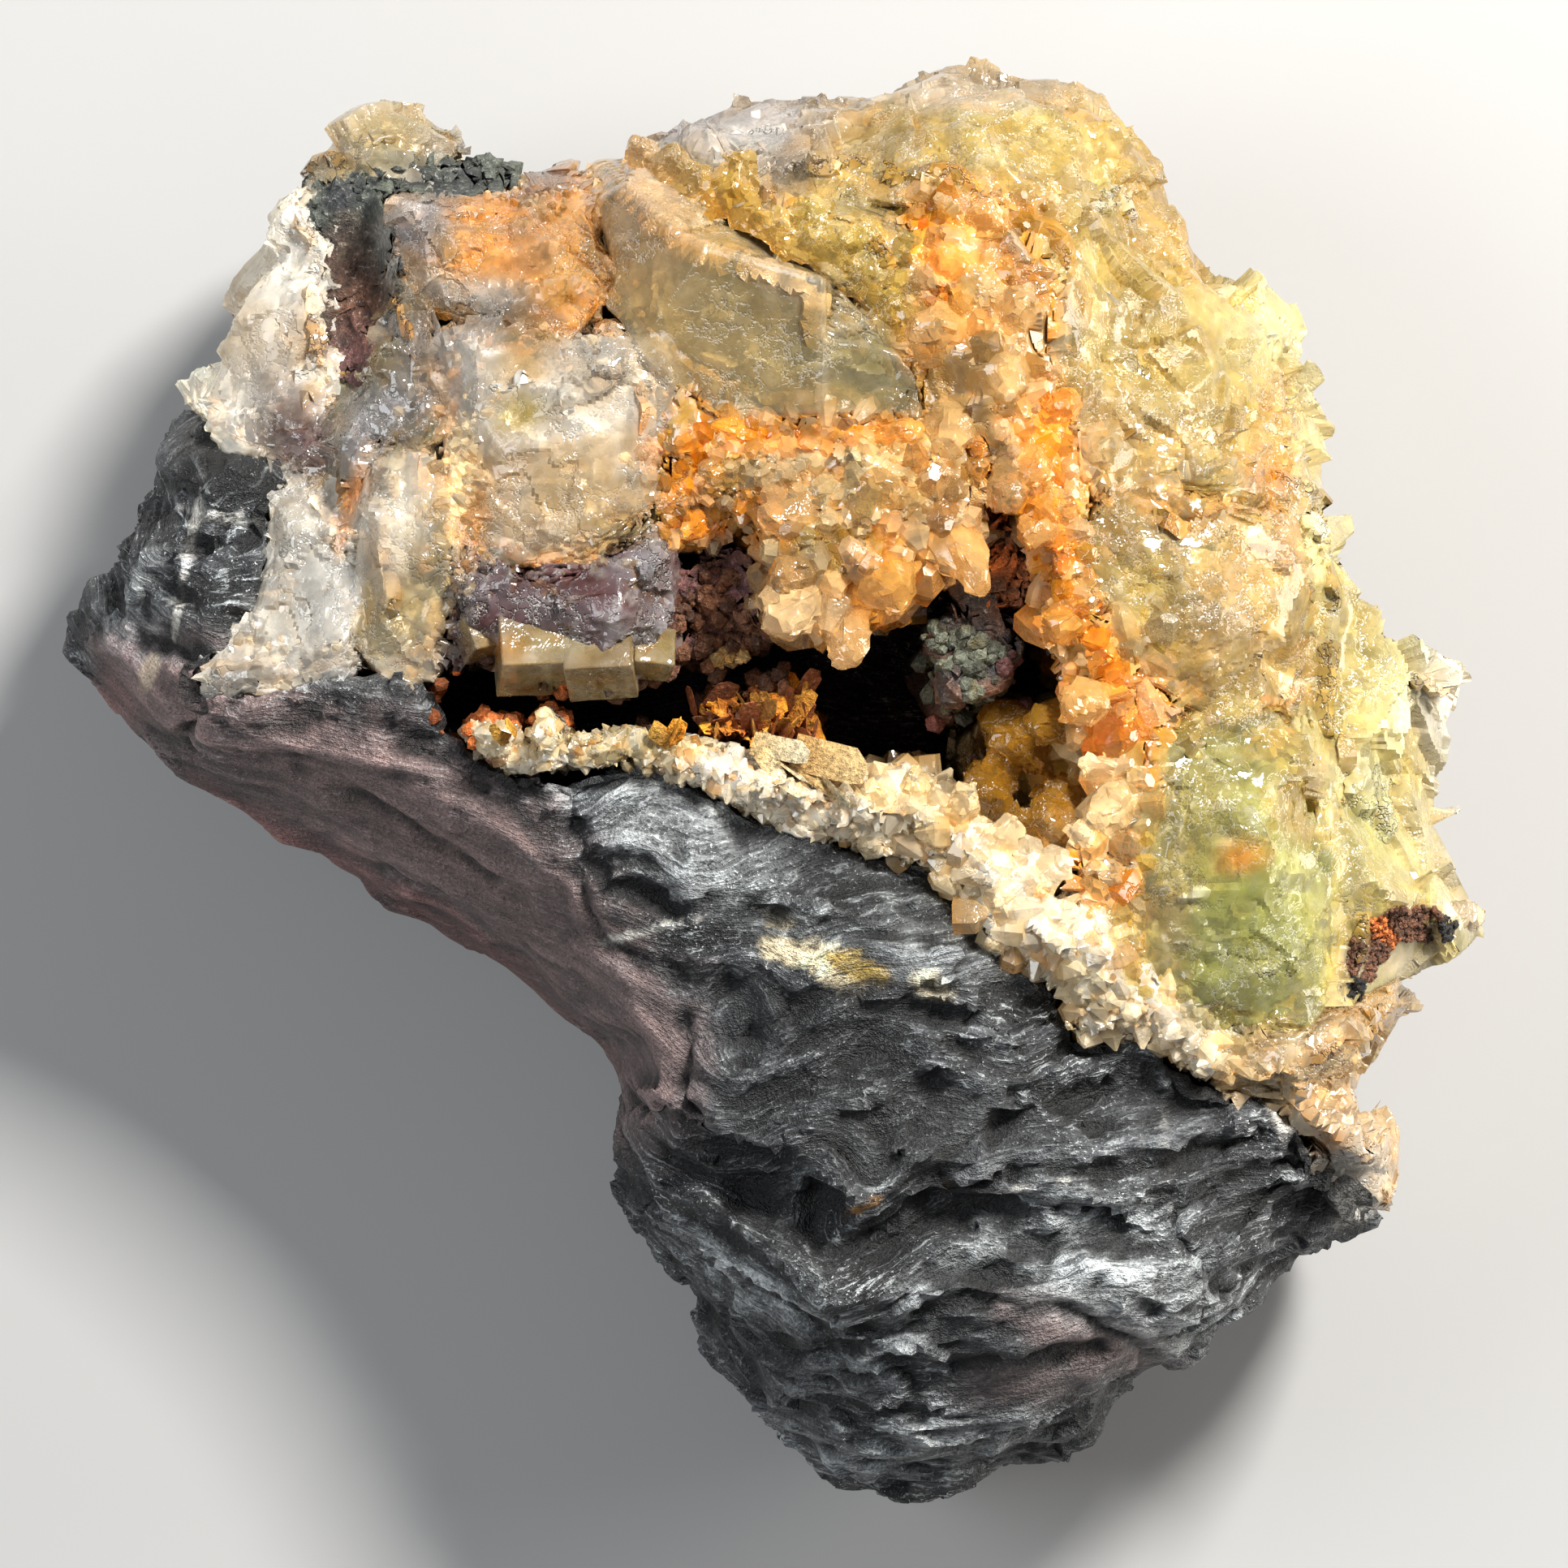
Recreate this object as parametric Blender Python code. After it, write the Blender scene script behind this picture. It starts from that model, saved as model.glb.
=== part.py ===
"""Fluorite cluster: yellow-green fluorite and drusy quartz round an open vug, on folded dark schist.

The specimen lies on its broken back with its display face up. X runs along its width, Y towards
its fluorite crest and Z up. The origin is under the middle, on the surface that it rests on.
Every outline and height below is in millimetres.
"""

import bmesh
import bpy
from mathutils import Vector
from mathutils.geometry import delaunay_2d_cdt

MM = 0.001
STAND_BACK = 0.15  # how far each piece keeps from a seam that it shares
SLAB_TOP = 10.0  # the schist that runs on under the vug and the fluorite
ON_SLAB = SLAB_TOP + 2 * STAND_BACK
OVERHANG = 24.0  # underside of what hangs over the vug
BACK_TUCK = 5.0  # how far the schist's back is drawn in from its widest outline
CRYSTAL_TUCK = 4.0  # the same for the crystals behind and right of it
THIN_TUCK = 0.8  # the same where a piece is thin behind its edge
CLIFF_LEAN = 0.1  # the schist's wall leans out by this much at its foot
SHARPEST = 0.25  # a corner sharper than this is drawn in no further
TINY = 1e-4  # points of an outline closer than this are one
SMOOTH_REACH = 3  # neighbours each way that steer which way an outline is drawn in

# The outline of the whole cluster, clockwise from its left tip, one run for each piece on it.
EDGE_SCHIST_LEFT = [(-44.4, 9), (-43.5, 11), (-42.2, 13), (-41.8, 14.6), (-40, 16.2), (-38.5, 19.2),
                    (-37.4, 21.8), (-36.9, 23.2)]
EDGE_SHOULDER = [(-36.9, 23.2), (-37.4, 23.8), (-36.2, 25.2), (-35.4, 26.3), (-34.8, 28), (-34.5, 30.5),
                 (-33.8, 32), (-32.3, 32.7), (-31.5, 34), (-30.5, 36), (-29.3, 37.5)]
EDGE_CORNER = [(-29.3, 37.5), (-28.5, 39.2), (-27.8, 40), (-26.3, 41), (-25, 41.2), (-22.5, 41),
               (-21.3, 40.5), (-19.9, 40.3), (-19.7, 39.8), (-20.1, 38.3)]
EDGE_CHLORITE = [(-20.1, 38.3), (-19.2, 38.1), (-18.3, 38.4), (-16.8, 37.8)]
EDGE_STAINED = [(-16.8, 37.8), (-15, 38.2), (-13.4, 38.2), (-12.7, 37.4)]
EDGE_OLIVE = [(-12.7, 37.4), (-11.5, 38.5), (-9.9, 38.5), (-9.3, 38.9)]
EDGE_CREST = [(-9.3, 38.9), (-8.8, 39.6), (-7, 40.3), (-5.5, 41), (-4.9, 41.6), (-1.8, 42.2), (0, 42.1),
              (4, 42.8), (6.3, 43.2), (8, 43.6), (10.4, 44.3), (12.5, 43.9), (14.5, 44.1), (16.5, 43.6),
              (19.3, 43.3), (19.9, 42.5), (20.9, 41.4), (22, 40.6), (22.7, 39.5), (23.3, 37.5),
              (23.7, 35.8), (24.8, 34.4), (25.9, 33.3), (26.4, 32), (27.6, 31.8), (29.9, 30),
              (31.2, 29.3), (32, 27.6), (31.6, 26.5), (31.4, 25.2), (32.4, 24.8), (33.1, 23.3),
              (32.9, 21.5), (33, 20), (33.6, 17.5), (33.2, 16.2)]
EDGE_WING = [(33.2, 16.2), (34.5, 14.5), (35.4, 13.2), (36.1, 12.3), (36.7, 9.8), (38.5, 9.2),
             (41.5, 8), (42.3, 7.3), (42.2, 5.8), (41.3, 4.2), (40.9, 2.5), (40.8, 0.7), (40.3, -0.5),
             (40.1, -1.8), (40.6, -3), (40.9, -4.5), (41.5, -5.8), (43.6, -7.2), (44.1, -7.9),
             (43.4, -9.3), (42, -10.1), (40.8, -9.9), (38.3, -11.3), (37.6, -12.6)]
EDGE_LOWER = [(37.6, -12.6), (38.5, -13.6), (37.9, -15), (36.9, -16.6), (35.6, -18.8), (36, -20.1),
              (37.5, -20.9), (38.7, -22.6), (38.7, -23.4), (37.4, -25.2), (37.2, -26.2), (36.5, -26.8)]
EDGE_SCHIST_BOTTOM = [(36.5, -26.8), (35.3, -27.4), (33, -28.1), (31.2, -29.2), (30.2, -30.6),
                      (28.9, -32.3), (27.5, -32.9), (26.6, -33.9), (25.8, -35.5), (24.8, -36.2),
                      (22.8, -36.3), (21, -37.5), (20.1, -38.2), (19.6, -39.5), (18.6, -41.2),
                      (16.8, -41.9), (14, -41.5), (13, -41.8), (11.8, -43.3), (9.5, -44.3),
                      (7, -44.2), (4, -43.5), (1.5, -41.8), (-0.8, -39.5), (-3, -36.8), (-4.4, -34.9),
                      (-5, -32.5), (-5.6, -31.2), (-7.8, -28.8), (-9.5, -26.2), (-10.1, -24.5),
                      (-10.5, -22), (-10.2, -19.3), (-11, -17.5), (-12, -16)]
EDGE_SCHIST_ARM = [(-12, -16), (-15, -13.4), (-17, -11.8), (-18.5, -10.8), (-20.5, -10), (-22.5, -8.8),
                   (-25, -7.9), (-26.5, -6.2), (-28.5, -4.6), (-31, -3.7), (-33.5, -1.8), (-37.5, 0),
                   (-38.9, 1.3), (-40.2, 3), (-41.8, 5), (-43.5, 7), (-44.4, 9)]

# Seams between the schist and what grew on it, from the left shoulder to the lower right tip.
SCHIST_SHOULDER = [(-36.9, 23.2), (-35.5, 22.3), (-34, 20.7), (-31.5, 20), (-29.3, 19.2)]
SCHIST_VEIN = [(-29.3, 19.2), (-31.3, 17.5), (-31.5, 14.5), (-32.3, 11), (-34, 8.3), (-35.8, 6.5),
               (-35.5, 5.6), (-33, 5.9), (-29, 6), (-25.5, 7)]
SCHIST_COLUMN = [(-25.5, 7), (-24, 6.5), (-22.5, 5.6)]
SCHIST_VUG = [(-22.5, 5.6), (-21, 4.2), (-19.5, 2.6)]
SCHIST_POINT = [(-19.5, 2.6), (-16.5, 0.6), (-13, 1)]
SCHIST_LIP = [(-13, 1), (-9, 1.2), (-5.5, 0.2), (-1.5, -2), (3, -3.6), (8.5, -4.6), (10.5, -6.5),
              (13, -10.3), (17, -12.3), (18, -15.3), (22, -15.6), (25.5, -17.8)]
SCHIST_LOWER = [(25.5, -17.8), (29.5, -19.6), (32.2, -21.5), (33.2, -23.5), (36.2, -26.4),
                (36.5, -26.8)]

# Seams between crystals.
LIP_BAND = [(17.4, -7), (19.5, -7), (21.2, -7.8)]
LIP_GREEN = [(21.2, -7.8), (20.6, -10.3), (24, -12.6), (27.6, -15.2)]
LIP_LOWER = [(27.6, -15.2), (26.6, -16.5), (25.5, -17.8)]
GREEN_LOWER = [(27.6, -15.2), (29.5, -15.3), (31.5, -14.3), (33.4, -13.4)]
WING_LOWER = [(33.4, -13.4), (34.6, -12.9), (36, -12.9), (37.6, -12.6)]
GREEN_WING = [(31.5, 4.5), (32, 1.5), (31.5, -1), (33, -4), (34.4, -7), (34, -10), (33.4, -13.4)]
CREST_WING = [(31.6, 16.8), (33.2, 16.2)]
TAN_WING = [(31.6, 16.8), (31.5, 14), (32.2, 11.5), (32.3, 9), (31.9, 6.5), (31.5, 4.5)]
TAN_GREEN = [(23.5, 4.8), (26, 4), (29, 3.5), (31.5, 4.5)]
CREST_TAN = [(18.5, 17.5), (20, 18), (23, 17.5), (27, 17), (29.5, 17.5), (31.6, 16.8)]
BAND_TAN = [(18.5, 17.5), (17.8, 14), (18.5, 11.5), (20, 9), (22, 6), (23.5, 4.8)]
BAND_GREEN = [(23.5, 4.8), (22.5, 2.5), (22.3, 0), (21.5, -3), (21.2, -7.8)]
CREST_BAND = [(7.6, 34.4), (8.2, 35.5), (10, 36), (11, 34.8), (13.5, 33.2), (16, 32.3), (15.8, 31),
              (16.8, 29), (16.5, 27), (16.8, 24.5), (17.5, 21.5), (17.5, 19), (18.5, 17.5)]
HONEY_CREST = [(-8.6, 38.3), (-6.8, 38.1), (-5, 37.1), (-2, 36.4), (0.5, 36), (5.4, 35), (7.6, 34.4)]
OLIVE_CREST = [(-9.3, 38.9), (-8.6, 38.3)]
OLIVE_HONEY = [(-8.6, 38.3), (-7.9, 37.2), (-6, 36.1), (-3.5, 34.3), (0, 32), (3.2, 30.2), (5.5, 27.8),
               (7.1, 25.9), (7.9, 24.4)]
HONEY_BAND = [(7.9, 24.4), (8.7, 27.3), (8.3, 29), (7.4, 31), (7.8, 32.5), (7.6, 34.4)]
OLIVE_BAND = [(7.9, 24.4), (8.1, 22.3)]
OLIVE_CLUSTER = [(-7.2, 24.4), (-5, 23.2), (-3.8, 22.4), (-2, 22.6), (-0.5, 22), (4, 22.2), (8.1, 22.3)]
PALE_OLIVE = [(-10.8, 29), (-9.8, 28), (-8.5, 26), (-7.2, 24.4)]
PALE_CLUSTER = [(-7.2, 24.4), (-7.3, 20), (-7.4, 16.8), (-8, 15.3)]
STAINED_OLIVE = [(-12.7, 37.4), (-11.5, 35.5), (-10.8, 33), (-10.3, 31), (-10.8, 29)]
STAINED_PALE = [(-21.5, 28), (-19.5, 28.5), (-17, 27.5), (-14.5, 26.8), (-12.5, 27.3), (-10.8, 29)]
CHLORITE_STAINED = [(-16.8, 37.8), (-16.6, 36.6), (-19, 36.4), (-22, 36.5), (-24.2, 36.5), (-24.6, 35.6),
                    (-23.6, 33), (-23.4, 31)]
LILAC_STAINED = [(-23.4, 31), (-22.5, 29.5), (-21.5, 28)]
LILAC_CHLORITE = [(-27.3, 25), (-26, 25.2), (-25.2, 26.5), (-25, 28), (-23.8, 29.5), (-23.4, 31)]
LILAC_PALE = [(-21.5, 28), (-21, 25), (-20.5, 22.5), (-20.8, 20)]
LILAC_COLUMN = [(-20.8, 20), (-22, 21), (-24.5, 20.5), (-25.5, 18.5), (-26.5, 16)]
LILAC_VEIN = [(-26.5, 16), (-28, 18.2), (-29.3, 19.2)]
LILAC_SHOULDER = [(-29.3, 19.2), (-28.5, 21), (-27.8, 23), (-27.3, 25)]
SHOULDER_CHLORITE = [(-27.3, 25), (-27.6, 27), (-28, 29), (-27.7, 31), (-27.2, 33), (-28.6, 35),
                     (-28.9, 36.3)]
SHOULDER_CORNER = [(-28.9, 36.3), (-29.3, 37.5)]
CORNER_CHLORITE = [(-28.9, 36.3), (-28.2, 37.2), (-27, 36.9), (-26, 37.2), (-25.2, 38), (-22, 38),
                   (-20.1, 38.3)]
VEIN_COLUMN = [(-26.5, 16), (-26, 13.5), (-25.2, 11), (-26.6, 8.6), (-25.5, 7)]
COLUMN_PALE = [(-20.8, 20), (-20.9, 14)]
COLUMN_CUBES = [(-20.9, 14), (-20.1, 11.5), (-20, 9.5), (-20.6, 7.6)]
PALE_CUBES = [(-20.9, 14), (-19, 13.7), (-17, 13.2), (-15, 12.8), (-13, 12.8), (-11, 13.8), (-9.5, 14.8),
              (-8, 15.3)]
CUBES_CLUSTER = [(-8, 15.3), (-6.6, 14.6)]
CLUSTER_BAND = [(8.1, 22.3), (9.5, 21.5), (11.5, 20.5), (12, 18.5), (12.5, 17)]

# Free edges round the vug.
COLUMN_BRINK = [(-20.6, 7.6), (-21.6, 6.9), (-22.5, 5.6)]
CUBES_BRINK = [(-6.6, 14.6), (-6.3, 12.5), (-6.6, 10.5), (-6.6, 8.5), (-6.9, 6.4), (-8.8, 6.4),
               (-9, 5.8), (-13.2, 5.8), (-13.4, 6.3), (-15.5, 6.2), (-17.6, 7), (-20.6, 7.6)]
CLUSTER_BRINK = [(-6.6, 14.6), (-5, 14.6), (-3, 15), (-1.3, 14.6), (-1, 12.8), (-1.5, 11.2), (-0.5, 9.4),
                 (1.6, 8.9), (3.6, 9.6), (5.2, 10.3), (7, 10.3), (8, 12), (9.2, 12.9), (10.3, 12.8),
                 (11.5, 14.3), (12.5, 17)]
BAND_BRINK = [(12.5, 17), (14.8, 16), (15, 14.5), (15.8, 12.5), (15.2, 10), (16, 8.5), (17.3, 7),
              (17.5, 4.8), (18.6, 3), (18.7, 1), (19, -1), (18, -3.5), (17.6, -5.5), (17.4, -7)]
LIP_BRINK = [(-13, 1), (-12.6, 2.6), (-9.5, 3.3), (-5.6, 2.6), (-1.5, 1.7), (2, 1.5), (5, 0.5),
             (6.8, 0.9), (8.2, 0.9), (10.3, -0.3), (12.3, -2.4), (13.8, -3.4), (15.4, -4.2),
             (16.8, -5.2), (15.9, -6.6), (17.4, -7)]
POINT_BRINK = [(-19.5, 2.6), (-18.4, 3.8), (-16.6, 3.8), (-15.6, 2.4), (-15.1, 3.6), (-14.5, 4.4),
               (-13.7, 4.3), (-13.3, 3), (-13, 1)]

# The edge of the slab, out of sight under the fluorite.
SLAB_EDGE = [(36.5, -26.8), (36.5, -26.5), (36, -25.2), (34, -21), (31, -14), (28.5, -6), (27, 3), (24, 12),
             (19, 20), (12, 27), (3, 31), (-8, 34), (-18, 35), (-26, 34.8), (-31, 31.5), (-34.5, 26.5),
             (-36.4, 23.6), (-36.9, 23.2)]


def along(line, first, last, tuck=0.0):
    """The points of a line with heights that change evenly from first to last, and their tuck."""
    steps = len(line) - 1
    return [(x, y, first + (last - first) * i / steps, tuck) for i, (x, y) in enumerate(line)]


def ring(*runs):
    """One closed outline from runs that each start where the one before ends."""
    return [point for run in runs for point in run[:-1]]


def turned(line):
    return line[::-1]


def area(outline):
    pairs = zip(outline, outline[1:] + outline[:1])
    return sum(a[0] * b[1] - b[0] * a[1] for a, b in pairs) / 2


def inward(outline, i, reach):
    """The unit vector that points into a counter-clockwise outline, smoothed over its neighbours."""
    total = Vector((0, 0))
    for k in range(i - reach, i + reach):
        a = Vector(outline[k % len(outline)][:2])
        b = Vector(outline[(k + 1) % len(outline)][:2])
        side = b - a
        total += Vector((-side.y, side.x))
    return total.normalized()


def stood_back(outline):
    """The outline drawn in by the gap that each piece keeps, with its corners kept sharp."""
    moved = []
    for i, (x, y, z, tuck) in enumerate(outline):
        bisector = inward(outline, i, 1)
        before = Vector(outline[i - 1][:2])
        side = Vector((x, y)) - before
        across = Vector((-side.y, side.x)).normalized()
        back = bisector * STAND_BACK / max(bisector.dot(across), SHARPEST)
        moved.append((x + back.x, y + back.y, z, tuck))
    return moved


def finish(bm, name, look):
    bmesh.ops.recalc_face_normals(bm, faces=bm.faces)
    mesh = bpy.data.meshes.new(name)
    bm.to_mesh(mesh)
    bm.free()
    mesh.materials.append(LOOKS[look])
    piece = bpy.data.objects.new(name, mesh)
    CLUSTER.objects.link(piece)
    return piece


def relief(name, look, outline, feet, ridges=(), peaks=()):
    """A piece with this outline, whose top runs through the outline's own heights, the ridges and the
    peaks. feet lists its lower rings from the top down, as height and share of each point's tuck."""
    if area(outline) < 0:
        outline = outline[::-1]
    outline = stood_back(outline)
    count = len(outline)
    points = [p[:3] for p in outline]
    edges = [(i, (i + 1) % count) for i in range(count)]
    for line in ridges:
        edges += [(len(points) + i, len(points) + i + 1) for i in range(len(line) - 1)]
        points += line
    points += peaks
    plan = [Vector(p[:2]) for p in points]
    inside_only = 1  # keep only the triangles inside the outline
    _, _, faces, came_from, _, _ = delaunay_2d_cdt(plan, edges, [], inside_only, TINY)

    bm = bmesh.new()
    top = [bm.verts.new([c * MM for c in points[origins[0]]]) for origins in came_from]
    place = {origins[0]: vert for origins, vert in zip(came_from, top)}
    for face in faces:
        bm.faces.new([top[i] for i in face])
    upper = [place[i] for i in range(count)]
    for height, share in feet:
        lower = []
        for i, (x, y, _, tuck) in enumerate(outline):
            drawn = inward(outline, i, SMOOTH_REACH) * tuck * share
            lower.append(bm.verts.new(((x + drawn.x) * MM, (y + drawn.y) * MM, height * MM)))
        for i in range(count):
            after = (i + 1) % count
            bm.faces.new((upper[i], lower[i], lower[after], upper[after]))
        upper = lower
    bm.faces.new(upper[::-1])
    return finish(bm, name, look)


def material(name, colour, roughness, see_through=0.0, index=1.5):
    look = bpy.data.materials.new(name)
    look.use_nodes = True
    look.diffuse_color = (*colour, 1)
    shader = look.node_tree.nodes["Principled BSDF"]
    shader.inputs["Base Color"].default_value = (*colour, 1)
    shader.inputs["Roughness"].default_value = roughness
    shader.inputs["Transmission Weight"].default_value = see_through
    shader.inputs["IOR"].default_value = index
    return look


def clear_scene():
    for old in list(bpy.data.objects):
        bpy.data.objects.remove(old)


def make_schist():
    """The wall rock: a slab under everything, and the folded mass in front of and left of the vug."""
    wall = (SCHIST_SHOULDER[1:], SCHIST_VEIN[1:], SCHIST_COLUMN[1:], SCHIST_VUG[1:], SCHIST_POINT[1:],
            SCHIST_LIP[1:], SCHIST_LOWER[1:-1])
    brow = [
        *along(wall[0], 20, 26), *along(wall[1], 26.5, 30), *along(wall[2], 30.5, 31),
        *along(wall[3], 31.5, 32), *along(wall[4], 33, 34), *along(wall[5], 34.5, 31),
        *along(wall[6], 29.5, 26),
    ]
    # The wall's top edge keeps its gap to the crystals, and its foot stands just outside that edge.
    line = [*brow]
    top, foot = [], []
    for i, (x, y, z, _) in enumerate(line):
        before = Vector(line[max(i - 1, 0)][:2])
        after = Vector(line[min(i + 1, len(line) - 1)][:2])
        way = (after - before).normalized()
        out = Vector((-way.y, way.x))  # towards the crystals
        top.append((x - out.x * STAND_BACK, y - out.y * STAND_BACK, z))
        lean = STAND_BACK - CLIFF_LEAN
        foot.append((x - out.x * lean, y - out.y * lean, SLAB_TOP))
    arm_crest = [(-40, 7.5, 22), (-36.5, 3.2, 26), (-30, 2.2, 29), (-23, 1, 31.3), (-17, -3, 32.5),
                 (-13, -6.5, 33), (-10, -11, 32.5), (-8.3, -15, 32), (-7.4, -18.6, 31.5)]
    arm_flank = [(-38.6, 3.6, 20), (-33.5, 0.6, 21.5), (-27.5, -2, 23.5), (-21.5, -5.8, 25),
                 (-16.4, -9.4, 25.5), (-12.4, -14, 25.5)]
    ledge = [(-9, -19.6, 29), (-7.3, -19.9, 31.5), (-5.3, -21.2, 32.5), (-1, -22.3, 33.5), (2, -24.5, 34),
             (4.4, -26.2, 34), (8, -25.3, 34), (12, -25.6, 34), (16, -26.3, 33.6), (21, -26.8, 32.6),
             (24.4, -28, 31.6), (26, -29.8, 29.8), (27.2, -31.8, 25)]
    under_ledge = [(-9, -21, 26.5), (-7, -21.7, 27.5), (-5.2, -22.8, 28.5), (-1.4, -24.2, 29.8),
                   (1.6, -25.8, 31.2), (4.6, -27.2, 32.4), (8.5, -26.5, 31.6), (12.4, -26.7, 31.4),
                   (16.6, -27.4, 32), (21, -28, 31.4), (23.8, -29.4, 30.2), (24.8, -31.2, 28.4)]
    peaks = [
        # left block
        (-35, 13, 27), (-35.2, 17.6, 25.4), (-38.2, 14.2, 24), (-40.6, 11, 22.4), (-38.2, 19.2, 21),
        (-37, 9.2, 25.4), (-41.8, 8.4, 20.4), (-32.8, 19, 25.6),
        # front of the mass, above the ledge
        (-26.5, 4.4, 30.6), (-20.5, 0.6, 32), (-12.5, -2, 34.2), (-8, -3.6, 35.6), (-3.4, -6.6, 35.6),
        (1.6, -7.6, 36.2), (6, -8.6, 36.3), (10, -12, 35.8), (14, -15, 34.8), (5, -13.6, 35.4),
        (-1.6, -12.4, 34.8), (-5, -10.4, 34.2), (-4.2, -16.4, 33.6), (1.4, -18.6, 34.8),
        (8.4, -17.8, 35.3), (15.6, -19.2, 34.4), (22.6, -20.6, 32.4), (28.6, -23, 29.4),
        (8, -22.2, 35), (18, -23.2, 33.8), (25, -25, 31), (31, -26, 26.8),
        # lower block
        (-7.6, -24.6, 25.6), (-4.6, -27, 28.6), (0.4, -28.8, 31.6), (-2.2, -32.4, 27.6), (4, -31, 32.2),
        (9.4, -30.8, 32.8), (15, -30.4, 33), (19.8, -31, 31.8), (22, -34, 28.2), (15.8, -34.2, 31),
        (10.6, -35.4, 30.4), (5, -35.6, 29.6), (0.8, -36.8, 25), (4.4, -40.2, 24.4), (9, -40, 26),
        (14.4, -38.6, 26.6), (18, -36.8, 26.8),
    ]
    outline = ring(
        along(EDGE_SCHIST_LEFT, 15, 14.5, BACK_TUCK),
        along(turned(SLAB_EDGE), 9, 9, BACK_TUCK),
        along(EDGE_SCHIST_BOTTOM, 17, 15, BACK_TUCK),
        along(EDGE_SCHIST_ARM, 15, 15, BACK_TUCK),
    )
    return relief("schist_matrix", "schist", outline, [(6, 0.2), (0, 1)],
                  [top, foot, arm_crest, arm_flank, ledge, under_ledge], peaks)


def make_left_crystals():
    feet = [(ON_SLAB + 3, 0.3), (ON_SLAB, 1)]
    outline = ring(along(SCHIST_VEIN, 27, 30.5), along(turned(VEIN_COLUMN), 30, 29.5),
                   along(LILAC_VEIN, 29, 27.5))
    relief("quartz_vein", "vein_quartz", outline, feet,
           peaks=[(-31, 8.6, 29), (-30, 12, 29.6), (-28.6, 15.4, 29.4), (-28, 9.4, 31), (-27.4, 12.6, 30)])
    outline = ring(along(SCHIST_COLUMN, 30.5, 31), along(turned(COLUMN_BRINK), 31, 31.5),
                   along(turned(COLUMN_CUBES), 32, 32.5), along(turned(COLUMN_PALE), 32.5, 32),
                   along(LILAC_COLUMN, 32, 30), along(VEIN_COLUMN, 30, 30.5))
    relief("fluorite_left_column", "fluorite_grey", outline, feet,
           ridges=[[(-24.6, 18.8, 32.6), (-25, 14.6, 33), (-24.2, 10.6, 33)]],
           peaks=[(-22.4, 17, 33), (-22, 11.4, 33)])
    outline = ring(along(LILAC_SHOULDER, 27, 26.5), along(LILAC_CHLORITE, 27, 28),
                   along(LILAC_STAINED, 29, 30.5), along(LILAC_PALE, 31, 32.5),
                   along(LILAC_COLUMN, 32, 30), along(LILAC_VEIN, 29.5, 27.5))
    relief("quartz_lilac_block", "quartz_lilac", outline, feet,
           peaks=[(-26.4, 21.8, 30.4), (-24, 24, 31.6), (-22.4, 22.8, 32.4), (-24, 27, 30),
                  (-22.8, 28, 30.4), (-27.2, 19.6, 29.6)])
    outline = ring(along(EDGE_SHOULDER, 14, 16, CRYSTAL_TUCK), along(turned(SHOULDER_CORNER), 20, 23),
                   along(turned(SHOULDER_CHLORITE), 24.5, 26.5), along(turned(LILAC_SHOULDER), 27, 27),
                   along(turned(SCHIST_SHOULDER), 26, 20))
    relief("quartz_left_shoulder", "quartz_shoulder", outline, feet,
           ridges=[[(-34.6, 24.2, 21.5), (-33, 28.4, 22.4), (-31.4, 32.2, 22.6), (-29.8, 35.4, 23)]],
           peaks=[(-31.4, 24.4, 25.6), (-29.6, 27.4, 26.4), (-33, 22.2, 24), (-30, 31, 25.4),
                  (-31.6, 21.4, 26.4), (-29.2, 22.4, 27.6), (-35.6, 24.6, 18.6), (-34.2, 27.4, 18.6)])
    outline = ring(along(EDGE_CORNER, 17, 19, THIN_TUCK), along(turned(CORNER_CHLORITE), 23, 24),
                   along(SHOULDER_CORNER, 23, 17))
    relief("fluorite_corner_crystal", "fluorite_clear", outline, feet,
           ridges=[[(-27.4, 39, 23.4), (-24.8, 40.2, 24), (-21, 39.4, 23.4)]],
           peaks=[(-25.2, 38.9, 24.6), (-27.2, 37.8, 24)])
    outline = ring(along(EDGE_CHLORITE, 18, 18, THIN_TUCK), along(CHLORITE_STAINED, 19, 26),
                   along(turned(LILAC_CHLORITE), 26.5, 25), along(SHOULDER_CHLORITE, 25, 24),
                   along(CORNER_CHLORITE, 24, 19))
    relief("chlorite_seam", "chlorite", outline, feet,
           peaks=[(-26.8, 36, 25.6), (-25.4, 34.4, 25), (-25.8, 31, 24.4), (-26.4, 28, 25.2),
                  (-24.6, 37.2, 25.6), (-20.8, 37.4, 24.4), (-18, 37.5, 22.8)])
    outline = ring(along(EDGE_STAINED, 19, 19, THIN_TUCK), along(STAINED_OLIVE, 24, 33),
                   along(turned(STAINED_PALE), 33.5, 31), along(turned(LILAC_STAINED), 30.5, 28.5),
                   along(turned(CHLORITE_STAINED), 28, 20))
    relief("fluorite_stained_crystal", "fluorite_orange", outline, feet,
           ridges=[[(-23.4, 35.4, 30), (-20.2, 35, 31), (-16.4, 35.2, 30), (-13.4, 36.2, 27.6)]],
           peaks=[(-22.2, 32.4, 30.6), (-20, 31.4, 31.4), (-17, 32, 32), (-14, 33, 31.8), (-12.4, 30.4, 33),
                  (-16, 29.4, 32.6), (-20, 29.6, 31.6)])


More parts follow.
